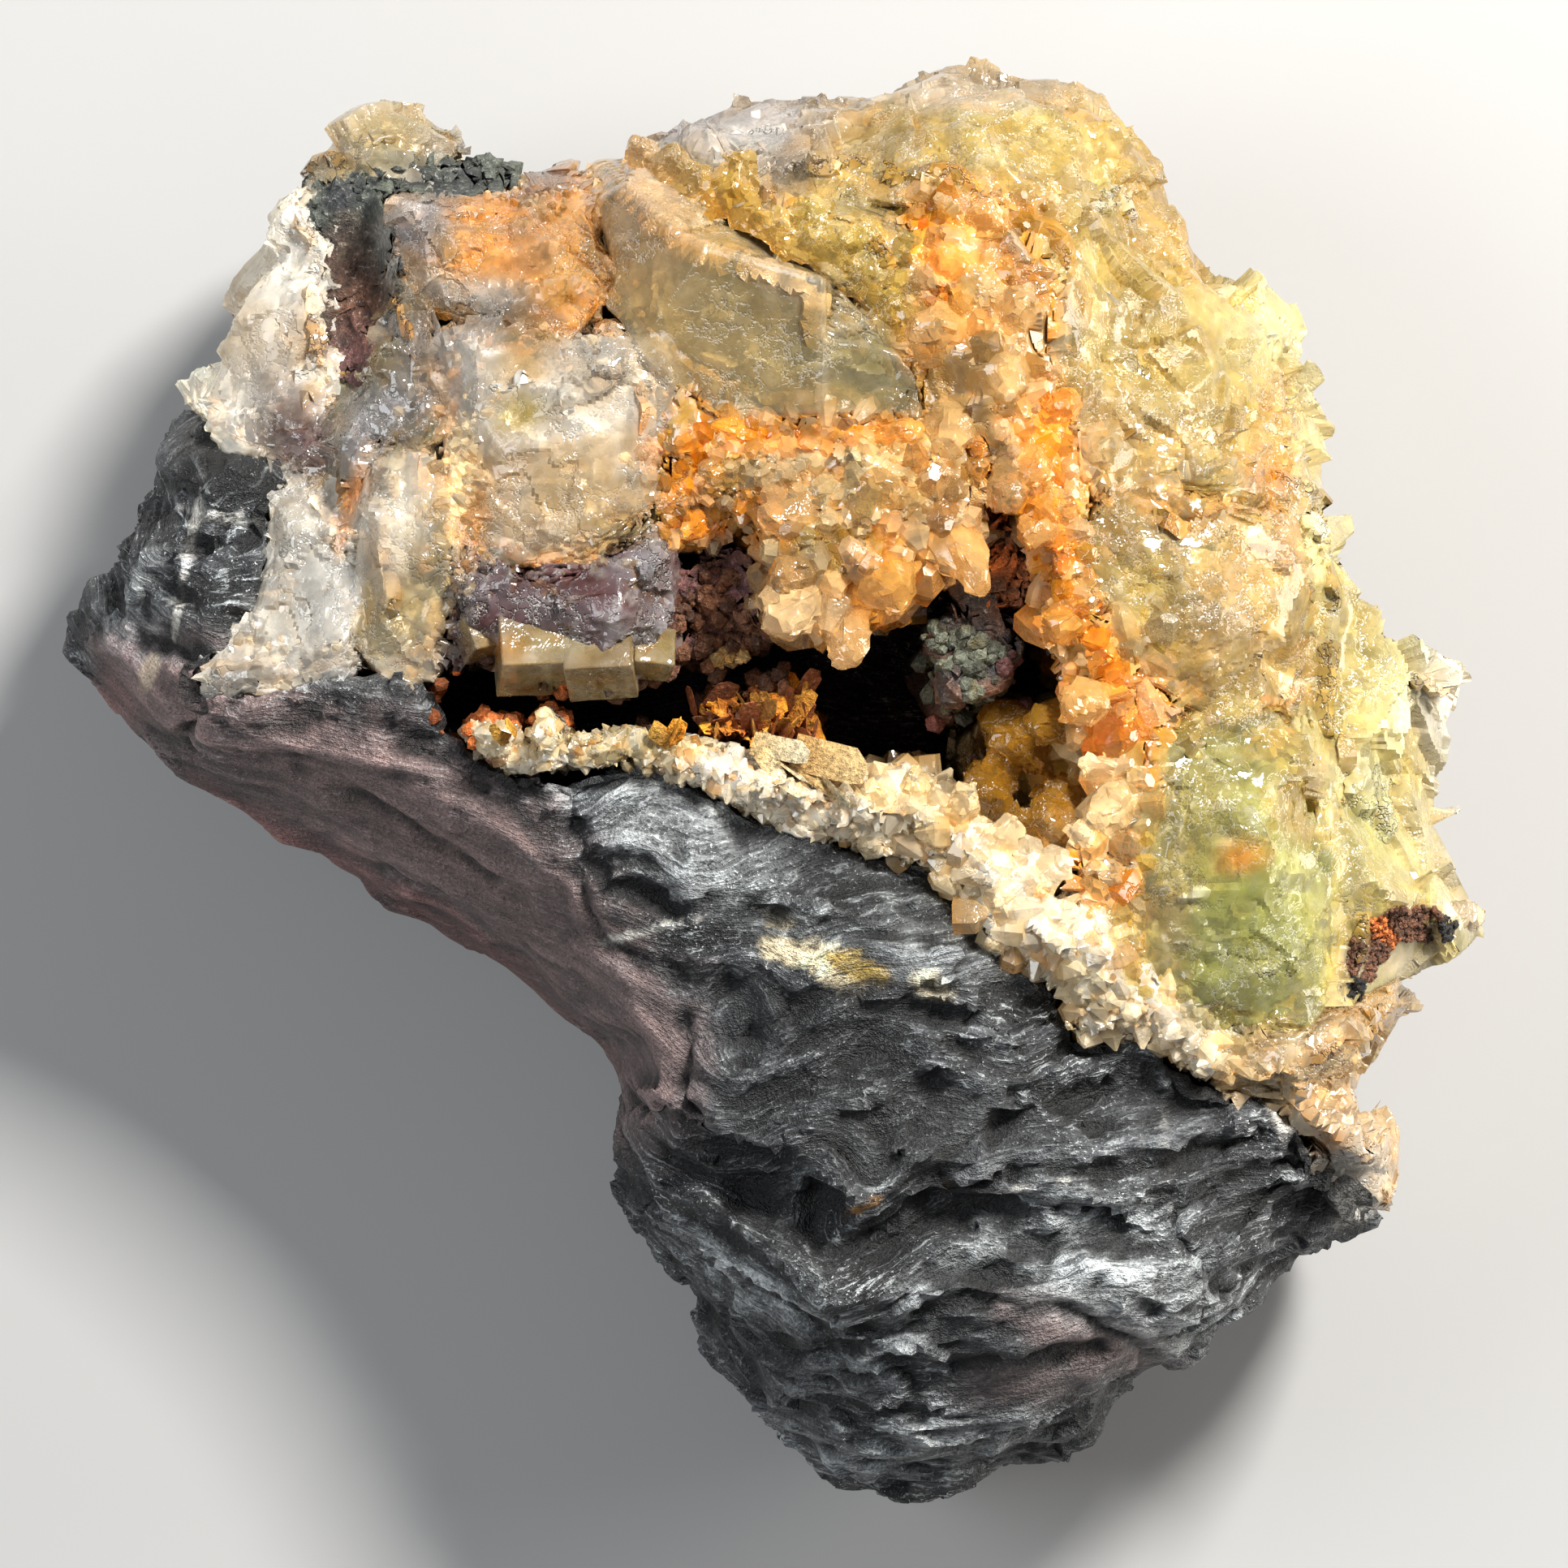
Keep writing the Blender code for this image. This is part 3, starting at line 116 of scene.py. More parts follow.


# ---------------------------------------------------------------- where colours change, in mm
# Each patch is a colour, mostly a mineral's own and some painted light or shade where marked, its middle, its
# two half widths, the turn of the first and its strength.

CRYSTAL_PATCHES = [
    # crest
    ("lilac", -3, 39.8, 7, 3.2, 8, 0.95), ("white", -2.5, 39.4, 3.2, 1.5, 20, 0.5),
    ("grey", 10, 42.6, 7, 1.6, 0, 0.7), ("lemon", 19, 37, 4.5, 5, -40, 0.6),
    ("amber", 13.6, 34.6, 2.8, 1.8, 0, 0.7), ("pale", 30, 28.6, 3.2, 4.4, 35, 0.95),
    ("pale", 32.4, 20, 1.6, 6, 0, 0.8), ("lemon", 24, 28, 6, 4, -40, 0.7),
    ("orange", 29.4, 18.9, 1.5, 1.6, 0, 0.6), ("leaf", 20, 24, 4, 5, 20, 0.4),
    ("tan", 20.5, 21, 3.4, 3, 0, 0.4), ("honey", 6.5, 38.5, 3.5, 2.6, 0, 0.7),
    # olive crystal and its neighbours
    # The peach patch at (-8.6, 33) is the upper-left facet's tan, painted lighter as it faces away from the
    # lamps; the smoke patch at (5, 25) is painted shade on the right facet; the white patch at (0, 30.6) is a
    # painted glint on the ridge.
    ("peach", -8.6, 33, 3.0, 4.6, 30, 0.9), ("smoke", 5, 25, 2.6, 4.4, 35, 0.9),
    ("tan", -4.5, 27.5, 5.5, 3, 30, 0.3), ("white", 0, 30.6, 2.4, 1.1, -35, 0.55),
    ("leaf", 3, 33, 2.8, 2.2, 0, 0.8), ("amber", 7.6, 26.4, 0.9, 1.6, 20, 0.8),
    ("lemon", -5, 36.9, 4.6, 0.8, -30, 0.7), ("olive", -4, 28, 6, 4.6, 20, 0.5),
    # stained and lilac crystals, top left
    ("lilac", -22.3, 34.6, 2.2, 3.4, 0, 0.95), ("white", -21, 36.7, 3.6, 0.6, -8, 0.8),
    ("purple", -14.9, 37.2, 1.7, 1.1, 0, 0.6), ("lilac", -14.9, 37.2, 2, 1.4, 0, 0.6),
    ("rust", -15.6, 32, 3.6, 2.8, -20, 0.3), ("orange", -18.4, 31.8, 1.8, 2.6, -20, 0.7),
    ("amber", -12.6, 30.4, 2.4, 2.6, 0, 0.7),
    ("slate", -18, 29, 3.6, 1.4, -12, 0.85), ("grey", -19, 30, 3.2, 1, -10, 0.6),
    # pale block
    ("cream", -19.6, 17.4, 0.9, 4.2, 0, 0.9), ("orange", -18.8, 15.4, 0.7, 2.2, -12, 0.6),
    ("tan", -13, 18, 4.4, 3.4, 10, 0.8), ("honey", -9.8, 15.4, 3, 1, 15, 0.6),
    ("orange", -5.8, 19.4, 1.5, 3, 0, 0.95), ("lemon", -16, 22.3, 1.6, 1.2, 0, 0.9),
    ("grey", -11, 24.6, 3, 2.6, 0, 0.7), ("white", -13, 21.6, 4.4, 0.7, 15, 0.5),
    # cube row
    ("purple", -12.4, 11.2, 4.4, 1.6, 0, 0.9), ("lilac", -14, 10.8, 3, 1, -10, 0.4),
    ("orange", -16.9, 7.8, 1.4, 0.9, 0, 0.6), ("purple", -20, 8, 1.2, 1.3, 0, 0.9),
    # left edge
    ("amber", -31.4, 26.5, 2, 2.4, 0, 0.2), ("peach", -28.8, 27.2, 1.6, 2, 0, 0.7),
    ("brown", -30.2, 22, 2.4, 2.4, -35, 0.85), ("purple", -29.2, 20.6, 1.8, 1.4, 0, 0.85),
    ("amber", -34.4, 30, 1.2, 2.6, 10, 0.2), ("white", -26.2, 13, 0.7, 5.2, -8, 0.8),
    ("olive", -22.4, 10, 1.8, 2.4, 0, 0.7), ("white", -23.4, 15.4, 1, 3.4, -12, 0.5),
    ("orange", -26.2, 17.4, 0.5, 2.8, -15, 0.7), ("lilac", -26, 21.4, 1.4, 2.4, 0, 0.7),
    ("olive", -25, 40, 4, 4, 0, 0.5),
    # centre cluster and amber band
    ("orange", 0, 20.9, 6.5, 1.0, 5, 0.9), ("cream", 2, 19, 4, 1.4, 0, 0.6),
    ("orange", -4.6, 16.6, 2.4, 1.4, 30, 0.6), ("cream", 0.5, 10.6, 2.8, 1.8, 0, 0.6),
    ("amber", 6, 13.6, 2, 2.4, 0, 0.5), ("peach", 10, 15.6, 2.6, 2.6, 0, 0.7),
    ("orange", 16, 20.6, 1.6, 3.6, 10, 0.9), ("orange", 16.6, 13, 1.3, 3.6, 5, 0.9),
    ("orange", 9.4, 30.8, 1.1, 4, 5, 0.6), ("tan", 11.4, 24.8, 2.6, 3.4, 0, 0.6),
    ("orange", 21, 4.8, 1.4, 2.2, -30, 0.7), ("cream", 20, -1.5, 1.6, 3, 0, 0.5),
    ("amber", 18.4, 8, 1.4, 3, 0, 0.6),
    # green crystal, tan crystal and wing
    ("sea", 28, -9.6, 3.6, 5.4, 0, 0.95), ("leaf", 25, -1, 3, 5, 0, 0.6),
    ("orange", 27.6, -4.3, 1.3, 1.1, 0, 0.8), ("olive", 23.6, -7.8, 1, 3.6, 0, 0.6),
    ("lemon", 30.6, 0.6, 1.6, 3.6, 0, 0.5), ("tan", 27, 12.6, 3.4, 3.6, 0, 0.6),
    ("honey", 20.4, 14, 1.8, 3.6, 0, 0.6), ("sea", 35.4, -3.6, 1.6, 3, 0, 0.6),
    # The white patches at (40.6, 5.6) and (42, 0) are painted glow on the wing's right rim, which faces
    # sideways.
    ("leaf", 34, 8, 1.8, 5, 0, 0.4), ("white", 40.6, 5.6, 1.8, 3, 20, 0.8),
    ("white", 42, 0, 2.4, 7, 6, 0.6),
    ("brown", 35.2, -10.6, 0.7, 2.4, -35, 0.8), ("brown", 38.4, -8.8, 2.4, 0.5, -6, 0.8),
    ("cream", 37.6, -10.8, 1.8, 1, 0, 0.8), ("white", 42.6, -8, 1.6, 1, 0, 0.7),
    # lower block
    ("tan", 32, -17.4, 3.8, 2, -10, 0.8), ("honey", 36.4, -15.6, 1.6, 2.8, 0, 0.6),
    ("grey", 34.4, -23.4, 3.4, 2.8, -45, 0.8), ("orange", 33, -22, 1, 0.6, 0, 0.7),
    # druse on the lip
    ("lemon", -9.4, 2.2, 3.8, 1.2, 0, 0.6), ("white", 1, -1.6, 7, 1.2, -18, 0.7),
    ("honey", 8, -1.2, 2.4, 1.8, -30, 0.3), ("white", 16.4, -9, 2.4, 4, 35, 0.5),
    ("lemon", 19, -12.4, 3, 1.2, -45, 0.4),
]
CRUST_PATCHES = [
    ("brown", -25.8, 28, 2.6, 5, 8, 0.9), ("purple", -26.4, 24.6, 2.2, 3, 0, 0.8),
    ("grey", -24, 33, 0.8, 2, 0, 0.5),
]
SCHIST_PATCHES = [
    ("white", 36.4, -24.2, 2.2, 3.4, -38, 0.8), ("white", 32.6, -21.6, 3.6, 1.2, -38, 0.6),
    ("mauve", -25, -1.4, 15, 4.8, -24, 1.0), ("mauve", -15, -9, 8, 3.6, -42, 0.9),
    ("mauve", -8.6, -16.5, 3.4, 5, 0, 0.8), ("mauve", -39.4, 5.4, 3.6, 4, -40, 0.8),
    ("russet", -30, -4, 12, 1.2, -27, 0.6), ("russet", -17, -12.2, 7, 1.2, -40, 0.5),
    ("mauve", 19, -33.6, 5.6, 1.7, -22, 0.8), ("mauve", 15, -36.5, 4, 1.4, 0, 0.4),
    # Silver is the mica's pale colour with painted sheen.
    ("silver", -6.4, -3.2, 6.6, 2.8, -36, 1.0), ("silver", 1, -9, 3, 0.9, -35, 0.7),
    ("silver", -2.4, -5.6, 5, 1.8, -36, 1.0), ("silver", -39.6, 10, 1.6, 3.4, -10, 0.7),
    ("silver", 9, -9, 5, 1.6, -40, 0.45),
    ("silver", 20, -30.4, 7, 2.8, -22, 0.7), ("silver", 24, -33, 2.6, 2.4, -30, 0.5),
    ("silver", -2.6, -30, 5, 2, -22, 0.8), ("silver", 10, -29.4, 4, 1, 30, 0.5),
    ("silver", 4, -36, 5, 1.6, 30, 0.4), ("silver", 18, -25.4, 6, 1.3, -12, 0.35),
    ("silver", 8, -10.4, 3, 1.6, -50, 0.3), ("silver", -31, 7.0, 5.6, 0.7, -8, 0.7),
    ("silver", 5, -24, 1.6, 2, 0, 0.3), ("silver", 9, -40.6, 7, 1.6, 5, 0.5),
    ("cream", -0.2, -8.2, 1.1, 0.7, -10, 0.9), ("cream", 0.6, -10.2, 2.2, 0.8, -20, 1.0),
    ("cream", 3, -11, 2.2, 1.1, -30, 1.0), ("honey", 4.6, -11.2, 2, 0.7, -24, 1.0),
    ("cream", 9, -12.4, 1.3, 0.7, -20, 0.9), ("white", -8.2, -8.9, 3.2, 0.22, 14, 0.8),
    ("white", 13.6, -24.7, 3.6, 0.18, 10, 0.45), ("orange", 4.8, -25.6, 1.2, 0.25, 20, 0.6),
    ("orange", 10, -24.2, 0.3, 0.3, 0, 0.6), ("grey", 23.3, -23, 0.15, 3, 4, 0.5),
    ("white", -36.6, 13.4, 0.32, 5.6, -10, 0.8), ("white", -34.6, 16.4, 3, 0.28, -12, 0.7),
    ("cream", -39, 6.8, 0.6, 1.2, -25, 0.35), ("grey", -32, 9.6, 0.35, 2, 20, 0.5),
    ("slate", -34.6, 12, 2.4, 3.4, 0, 0.4), ("russet", -41, 6, 1.6, 4, -25, 0.4),
    # The black patches lie in creases and under the ledge: painted shade.
    ("black", -36.2, 20.8, 1.4, 1.6, 0, 0.8), ("black", -33, 18.4, 2.8, 1.3, -12, 0.9),
    ("black", -2.4, -24.2, 4.8, 0.8, -28, 0.8), ("black", -9.6, -6.8, 3.2, 1.6, -30, 0.6),
    ("black", -0.5, -13.6, 3, 1.4, 0, 0.4),
]

# How the schist's folia run: a middle, the way they run there in degrees, and how far that holds.
FOLIA = [
    (-36, 13, 25, 4), (-38, 7, -25, 6), (-28, 1, -16, 8), (-18, -5, -30, 8), (-11, -13, -48, 6),
    (-8, -17, -75, 5), (-6, -4, -62, 5), (1, -5.5, -52, 5), (7, -8, -60, 5), (12, -13, -55, 5),
    (-4.5, -8.5, -10, 2.6), (-1, -10, -60, 2.6), (-1.4, -13.4, -115, 2.4), (-4.6, -12.8, 20, 2.6),
    (2, -16, 35, 4), (7, -17, 32, 4.5), (14, -18.5, 8, 5), (22, -20, -14, 6), (30, -25, -32, 6),
    (1, -20.5, 15, 3.5), (3.6, -23, -62, 2.6), (7, -22, 48, 3), (12, -23.6, 18, 4), (20, -26, -8, 5),
    (-7, -22, -12, 4), (-5, -27, -28, 4), (-3, -31, -12, 4), (14, -29, -12, 4.5), (22, -32, -38, 4.5),
    (8, -31, 38, 4), (-2, -35, -62, 3), (2, -37.6, -12, 3), (6, -36, 36, 3.4), (12, -35.4, 24, 4),
    (8, -41, 2, 5), (16, -39, 8, 4),
]
FOLIA_TILT = 0.55  # the folia dip, so they show on the sides as well


# ---------------------------------------------------------------- fields over points
# In each call of noise, rough, ridged and cleave, the whole number after the width in mm is a seed.

def noise(points, lump, seed):
    """Smooth noise from 0 to 1 at each point, with lumps about this many mm across."""
    rng = np.random.default_rng(seed)
    table = rng.random(LATTICE ** 3).astype(np.float32)
    place = (points / lump + rng.random(3) * LATTICE).astype(np.float32)
    cell = np.floor(place)
    part = place - cell
    part = (part * part * (3 - 2 * part)).T
    low = (cell.astype(np.int32) % LATTICE).T
    high = (low + 1) % LATTICE

    def between(first, second, share):
        return first + (second - first) * share

    def row(y, z):
        lane = (z * LATTICE + y) * LATTICE
        return between(table[lane + low[0]], table[lane + high[0]], part[0])

    return between(between(row(low[1], low[2]), row(high[1], low[2]), part[1]),
                   between(row(low[1], high[2]), row(high[1], high[2]), part[1]), part[2]).astype(float)


def rough(points, lump, seed, octaves=3):
    """Noise with finer and finer lumps, from 0 to 1."""
    total, share, whole = 0.0, 1.0, 0.0
    for k in range(octaves):
        total = total + noise(points, lump / 2 ** k, seed + k) * share
        whole += share
        share *= 0.5
    return total / whole


def patch(points, x, y, half_x, half_y, turn, ragged=0.0):
    """1 in the middle of a turned ellipse, falling to 0 past its ragged edge."""
    turn = math.radians(turn)
    dx, dy = points[:, 0] - x, points[:, 1] - y
    u = (dx * math.cos(turn) + dy * math.sin(turn)) / half_x
    v = (dy * math.cos(turn) - dx * math.sin(turn)) / half_y
    return np.clip(1.35 - np.hypot(u, v) * 0.9 + ragged, 0, 1)


def ragged_edge(points, seed=71, amount=0.9):
    """How far a patch's border wanders at each point."""
    return (rough(points, 1.8, seed, 4) - 0.5) * amount


CRISP = ("cream", "honey", "white", "orange")  # mineral spots in the schist have clear borders


def paint(points, tint, patches, crisp=()):
    """Lay patches of colour over a tint, one after another: mostly mineral colours, a few painted light or
    shade.
    """
    edge = ragged_edge(points)
    for name, x, y, half_x, half_y, turn, strength in patches:
        near = np.hypot(points[:, 0] - x, points[:, 1] - y) < 1.8 * max(half_x, half_y)
        if near.any():
            share = patch(points[near], x, y, half_x, half_y, turn, edge[near])[:, None]
            if name in crisp:
                share = np.clip((share - 0.4) * 5, 0, 1)
            share = share * strength
            tint[near] = tint[near] * (1 - share) + shade(name) * share
    return tint


def folia(points):
    """How far each point lies across and along the schist's folia, in mm."""
    flat = points[:, :2]
    weights, across, along = 1e-9, 0.0, 0.0
    for x, y, turn, reach in FOLIA:
        turn = math.radians(turn)
        way = np.array((math.cos(turn), math.sin(turn)))
        side = np.array((-way[1], way[0]))
        offset = flat - (x, y)
        weight = np.exp(-(offset ** 2).sum(1) / reach ** 2) + 1e-5
        across = across + weight * (offset @ side + y * 0.9)
        along = along + weight * (offset @ way + x)
        weights = weights + weight
    return across / weights + points[:, 2] * FOLIA_TILT, along / weights


# ---------------------------------------------------------------- meshes

def only(piece):
    """Select this piece and nothing else."""
    bpy.ops.object.select_all(action="DESELECT")
    piece.select_set(True)
    bpy.context.view_layer.objects.active = piece


def apply_modifiers(piece):
    """Make all of a piece's modifiers part of its mesh."""
    only(piece)
    for modifier in list(piece.modifiers):
        bpy.ops.object.modifier_apply(modifier=modifier.name)


def fine_copy(node, name, grain):
    """A new piece with a CAD node's shape in a fine, even mesh."""
    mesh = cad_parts[node].data.copy()
    mesh.name = name
    mesh.materials.clear()
    bm = bmesh.new()
    bm.from_mesh(mesh)
    bmesh.ops.remove_doubles(bm, verts=bm.verts, dist=1e-7)
    bm.to_mesh(mesh)
    bm.free()
    piece = bpy.data.objects.new(name, mesh)
    bpy.context.scene.collection.objects.link(piece)
    remesh = piece.modifiers.new("even mesh", "REMESH")
    remesh.mode = "VOXEL"
    remesh.voxel_size = grain * MM
    apply_modifiers(piece)
    return piece


def read(piece):
    """A mesh's points in mm, and its normals."""
    mesh = piece.data
    points = np.empty(len(mesh.vertices) * 3)
    mesh.vertices.foreach_get("co", points)
    normals = np.empty(len(mesh.vertices) * 3, np.float32)
    mesh.vertex_normals.foreach_get("vector", normals)
    return points.reshape(-1, 3) / MM, normals.reshape(-1, 3).astype(float)


def write(piece, points):
    """Move a mesh's points to these places in mm."""
    piece.data.vertices.foreach_set("co", (points * MM).ravel())
    piece.data.update()


def nearest_gap(points, others, reach):
    """Each point's distance to the nearest of the others, up to a reach, in mm."""
    tree = KDTree(len(others))
    for i, other in enumerate(others):
        tree.insert(other, i)
    tree.balance()
    return np.array([min(tree.find(p)[2], reach) for p in points])


def scattered_cells(points, across, seed, count=3):
    """The numbers of the nearest few scattered seeds to each point, nearest first."""
    jitter = np.random.default_rng(seed).random((4096, 3))
    place = points / across
    base = np.floor(place).astype(np.int64)
    gaps, names = [], []
    for step in np.ndindex(3, 3, 3):
        cell = base + np.array(step) - 1
        key = (cell[:, 0] * 73856093 ^ cell[:, 1] * 19349663 ^ cell[:, 2] * 83492791) & 4095
        gaps.append(((place - cell - jitter[key]) ** 2).sum(1))
        names.append(((cell[:, 0] + 1024) << 24) + ((cell[:, 1] + 1024) << 12) + cell[:, 2] + 1024)
    gaps, names = np.array(gaps), np.array(names)
    order = np.argpartition(gaps, count, axis=0)[:count]
    order = np.take_along_axis(order, np.take_along_axis(gaps, order, 0).argsort(0), 0)
    chosen = np.take_along_axis(names, order, 0)
    return np.unique(chosen, return_inverse=True)[1].reshape(chosen.shape)


def crystal_planes(rng):
    """The cube and octahedron directions of a crystal that lies any way."""
    axes = np.array(Matrix.Rotation(rng.random() * math.tau, 3, rng.random(3) - 0.5))
    eight = [(axes[0] * u + axes[1] * v + axes[2] * w) / math.sqrt(3)
             for u in (1, -1) for v in (1, -1) for w in (1, -1)]
    return np.concatenate([axes, -axes, eight])


def cleave(points, normals, across, seed, strength, lean, sharp=0.5, space=None, tilt=0.22):
    """Break a surface into flat facets this many mm across, and say which facet each point is on.

    The facets lean to the crystal's own planes, tilt at random, and meet in sharper or softer ridges.
    """
    rng = np.random.default_rng(seed)
    near = scattered_cells(points if space is None else space, across, seed)
    own, total = near[0], near.max() + 1
    members = np.bincount(own, minlength=total).clip(1)[:, None]
    middle = np.stack([np.bincount(own, points[:, k], total) for k in range(3)], 1) / members
    facing = np.stack([np.bincount(own, normals[:, k], total) for k in range(3)], 1)
    seen = np.bincount(own, minlength=total) > 2
    facing /= np.linalg.norm(facing, axis=1, keepdims=True).clip(1e-9)
    planes = crystal_planes(rng)
    plane = facing * (1 - lean) + planes[(facing @ planes.T).argmax(1)] * lean
    plane += rng.normal(0, tilt, facing.shape)
    plane /= np.linalg.norm(plane, axis=1, keepdims=True)
    heights = []
    for k in range(3):
        cell = near[k]
        gap = ((middle[cell] - points) * plane[cell]).sum(1)
        height = gap / (normals * plane[cell]).sum(1).clip(0.45)
        heights.append(np.where(seen[cell], height, np.inf if k else 0.0))
    height = heights[0] * (1 - sharp) + np.minimum.reduce(heights) * sharp
    limit = across * 0.3
    return points + normals * (np.clip(height, -limit, limit) * strength)[:, None], own


def convexity(piece, rounds=2):
    """0 in creases, 0.5 on flats and 1 on sharp edges."""
    points, normals = read(piece)
    edges = np.empty(len(piece.data.edges) * 2, np.int32)
    piece.data.edges.foreach_get("vertices", edges)
    first, second = edges.reshape(-1, 2).T
    count = len(points)
    degree = np.bincount(edges, minlength=count).clip(1)

    def around(values):
        total = np.bincount(first, values[second], count) + np.bincount(second, values[first], count)
        return total / degree

    gap = sum((points[:, k] - around(points[:, k])) * normals[:, k] for k in range(3))
    for _ in range(rounds):
        gap = gap * 0.5 + around(gap) * 0.5
    return np.clip(0.5 + gap / (gap.std() * 4 + 1e-9), 0, 1)


def set_attribute(piece, name, kind, values):
    """Give each point of a mesh a value for its material to read."""
    attribute = piece.data.attributes.new(name, kind, "POINT")
    key = "color" if "COLOR" in kind else "value"
    attribute.data.foreach_set(key, np.ascontiguousarray(values, np.float32).ravel())


def set_tint(piece, tint):
    """Give each point of a mesh its colour."""
    set_attribute(piece, "tint", "FLOAT_COLOR", np.c_[tint.clip(0, 1), np.ones(len(tint))])


def settle(piece, material, slot, *nodes, angle=32, clear=False):
    """The last steps for a finished piece: material, shading, body and the nodes it stands for; its slot is
    not used.

    Light reaches straight through a clear piece to what is sealed in it.
    """
    piece.visible_shadow = not clear
    piece.data.materials.append(material)
    only(piece)
    bpy.ops.object.shade_smooth_by_angle(angle=math.radians(angle))
    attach(piece, BODY)
    if nodes:
        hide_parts(*nodes)


# ---------------------------------------------------------------- materials

class Graph:
    """Short ways to add and link shader nodes."""

    def __init__(self, tree):
        self.tree = tree
        self.nodes = tree.nodes
        self.nodes.clear()

    def add(self, kind, inputs=None, **settings):
        node = self.nodes.new(kind)
        for key, value in settings.items():
            setattr(node, key, value)
        for key, value in (inputs or {}).items():
            self.put(node.inputs[key], value)
        return node

    def put(self, socket, value):
        if isinstance(value, bpy.types.NodeSocket):
            self.tree.links.new(value, socket)
        elif value is not None:
            socket.default_value = value

    def math(self, operation, a, b=None, c=None, clamp=False):
        node = self.add("ShaderNodeMath", operation=operation, use_clamp=clamp)
        for socket, value in zip(node.inputs, (a, b, c)):
            self.put(socket, value)
        return node.outputs[0]

    def vector(self, operation, a, b=None, factor=None):
        node = self.add("ShaderNodeVectorMath", operation=operation)
        self.put(node.inputs[0], a)
        self.put(node.inputs[1], b)
        if factor is not None:
            self.put(node.inputs["Scale"], factor)
        return node.outputs[0]

    def ramp(self, value, low, high, to_low=0.0, to_high=1.0):
        node = self.add("ShaderNodeMapRange", {"Value": value, "From Min": low, "From Max": high,
                                               "To Min": to_low, "To Max": to_high})
        return node.outputs[0]

    def mix(self, factor, a, b, blend="MIX"):
        node = self.add("ShaderNodeMix", data_type="RGBA", blend_type=blend)
        for index, value in ((0, factor), (6, a), (7, b)):
            self.put(node.inputs[index], value)
        return node.outputs[2]

    def noise(self, vector, scale, detail=3.0, roughness=0.55, distortion=0.0):
        node = self.add("ShaderNodeTexNoise", {"Vector": vector, "Scale": scale, "Detail": detail,
                                               "Roughness": roughness, "Distortion": distortion})
        return node.outputs[0]

    def attribute(self, name, output="Fac"):
        return self.add("ShaderNodeAttribute", attribute_name=name).outputs[output]


def new_group(name, inputs, outputs):
    """A shader node group with these sockets, and its graph and input node."""
    tree = bpy.data.node_groups.new(name, "ShaderNodeTree")
    for key, kind, default in inputs:
        socket = tree.interface.new_socket(key, in_out="INPUT", socket_type=f"NodeSocket{kind}")
        if default is not None:
            socket.default_value = default
    for key, kind in outputs:
        tree.interface.new_socket(key, in_out="OUTPUT", socket_type=f"NodeSocket{kind}")
    graph = Graph(tree)
    return graph, graph.add("NodeGroupInput").outputs, graph.add("NodeGroupOutput").inputs


def rock_space(graph):
    """Object coordinates in mm."""
    place = graph.add("ShaderNodeTexCoord").outputs["Object"]
    return graph.vector("SCALE", place, factor=1 / MM)


def make_crystal_skin():
    """The look of crystal: soft clouds, fine wrinkles, and pale hairlines that are partly real cracks and
    partly painted glints.
    """
    graph, given, out = new_group("crystal skin", [
        ("Tint", "Color", (1, 1, 1, 1)), ("Cracks and glints", "Float", 0.3), ("Chips", "Float", 0.5),
        ("Polish", "Float", 0.15),
    ], [("Color", "Color"), ("Roughness", "Float"), ("Normal", "Vector")])
    place = rock_space(graph)
    grain = graph.noise(place, 0.8, 3.0, 0.66)
    # Patches that hold the wrinkles and the painted glints on them.
    wrinkles_and_glints = graph.ramp(graph.noise(place, 0.22, 1.0), 0.46, 0.56, 0.08, 1.0)
    gap = graph.math("ABSOLUTE", graph.math("SUBTRACT", grain, 0.5))
    dent = graph.math("MULTIPLY", graph.ramp(gap, 0.05, 0.0), wrinkles_and_glints)
    # Pale hairlines along the wrinkles: partly real cracks, partly painted glints.
    lines = graph.math("MULTIPLY", graph.ramp(gap, 0.016, 0.0), given["Cracks and glints"])
    lines = graph.math("MULTIPLY", lines, wrinkles_and_glints)
    pale = graph.mix(0.15, (0.97, 0.95, 0.90, 1), given["Tint"])
    colour_now = graph.mix(1.0, given["Tint"], graph.ramp(grain, 0.3, 0.7, 0.8, 1.2), "MULTIPLY")
    colour_now = graph.mix(lines, colour_now, pale)
    bump = graph.add("ShaderNodeBump", {"Height": dent, "Strength": given["Chips"],
                                        "Distance": -0.25 * MM})
    graph.put(out["Color"], colour_now)
    graph.put(out["Roughness"], graph.ramp(grain, 0.42, 0.78, given["Polish"], 0.32))
    graph.put(out["Normal"], bump.outputs[0])
    return graph.tree


def new_material(name):
    """A material with an empty graph."""
    material = bpy.data.materials.new(name)
    material.use_nodes = True
    return material, Graph(material.node_tree)


def surface(graph, skin, values, settings):
    """A mineral's surface: a skin that takes the piece's own tint, and the shader it feeds."""
    look = graph.add("ShaderNodeGroup", node_tree=skin)
    for key, value in {"Tint": graph.attribute("tint", "Color"), **values}.items():
        graph.put(look.inputs[key], value)
    shader = graph.add("ShaderNodeBsdfPrincipled", {
        "Base Color": look.outputs["Color"], "Roughness": look.outputs["Roughness"],
        "Normal": look.outputs["Normal"], **settings})
    end = graph.add("ShaderNodeOutputMaterial")
    graph.put(end.inputs["Surface"], shader.outputs[0])
    return end


FLUORITE_IOR = 1.434
QUARTZ_IOR = 1.544


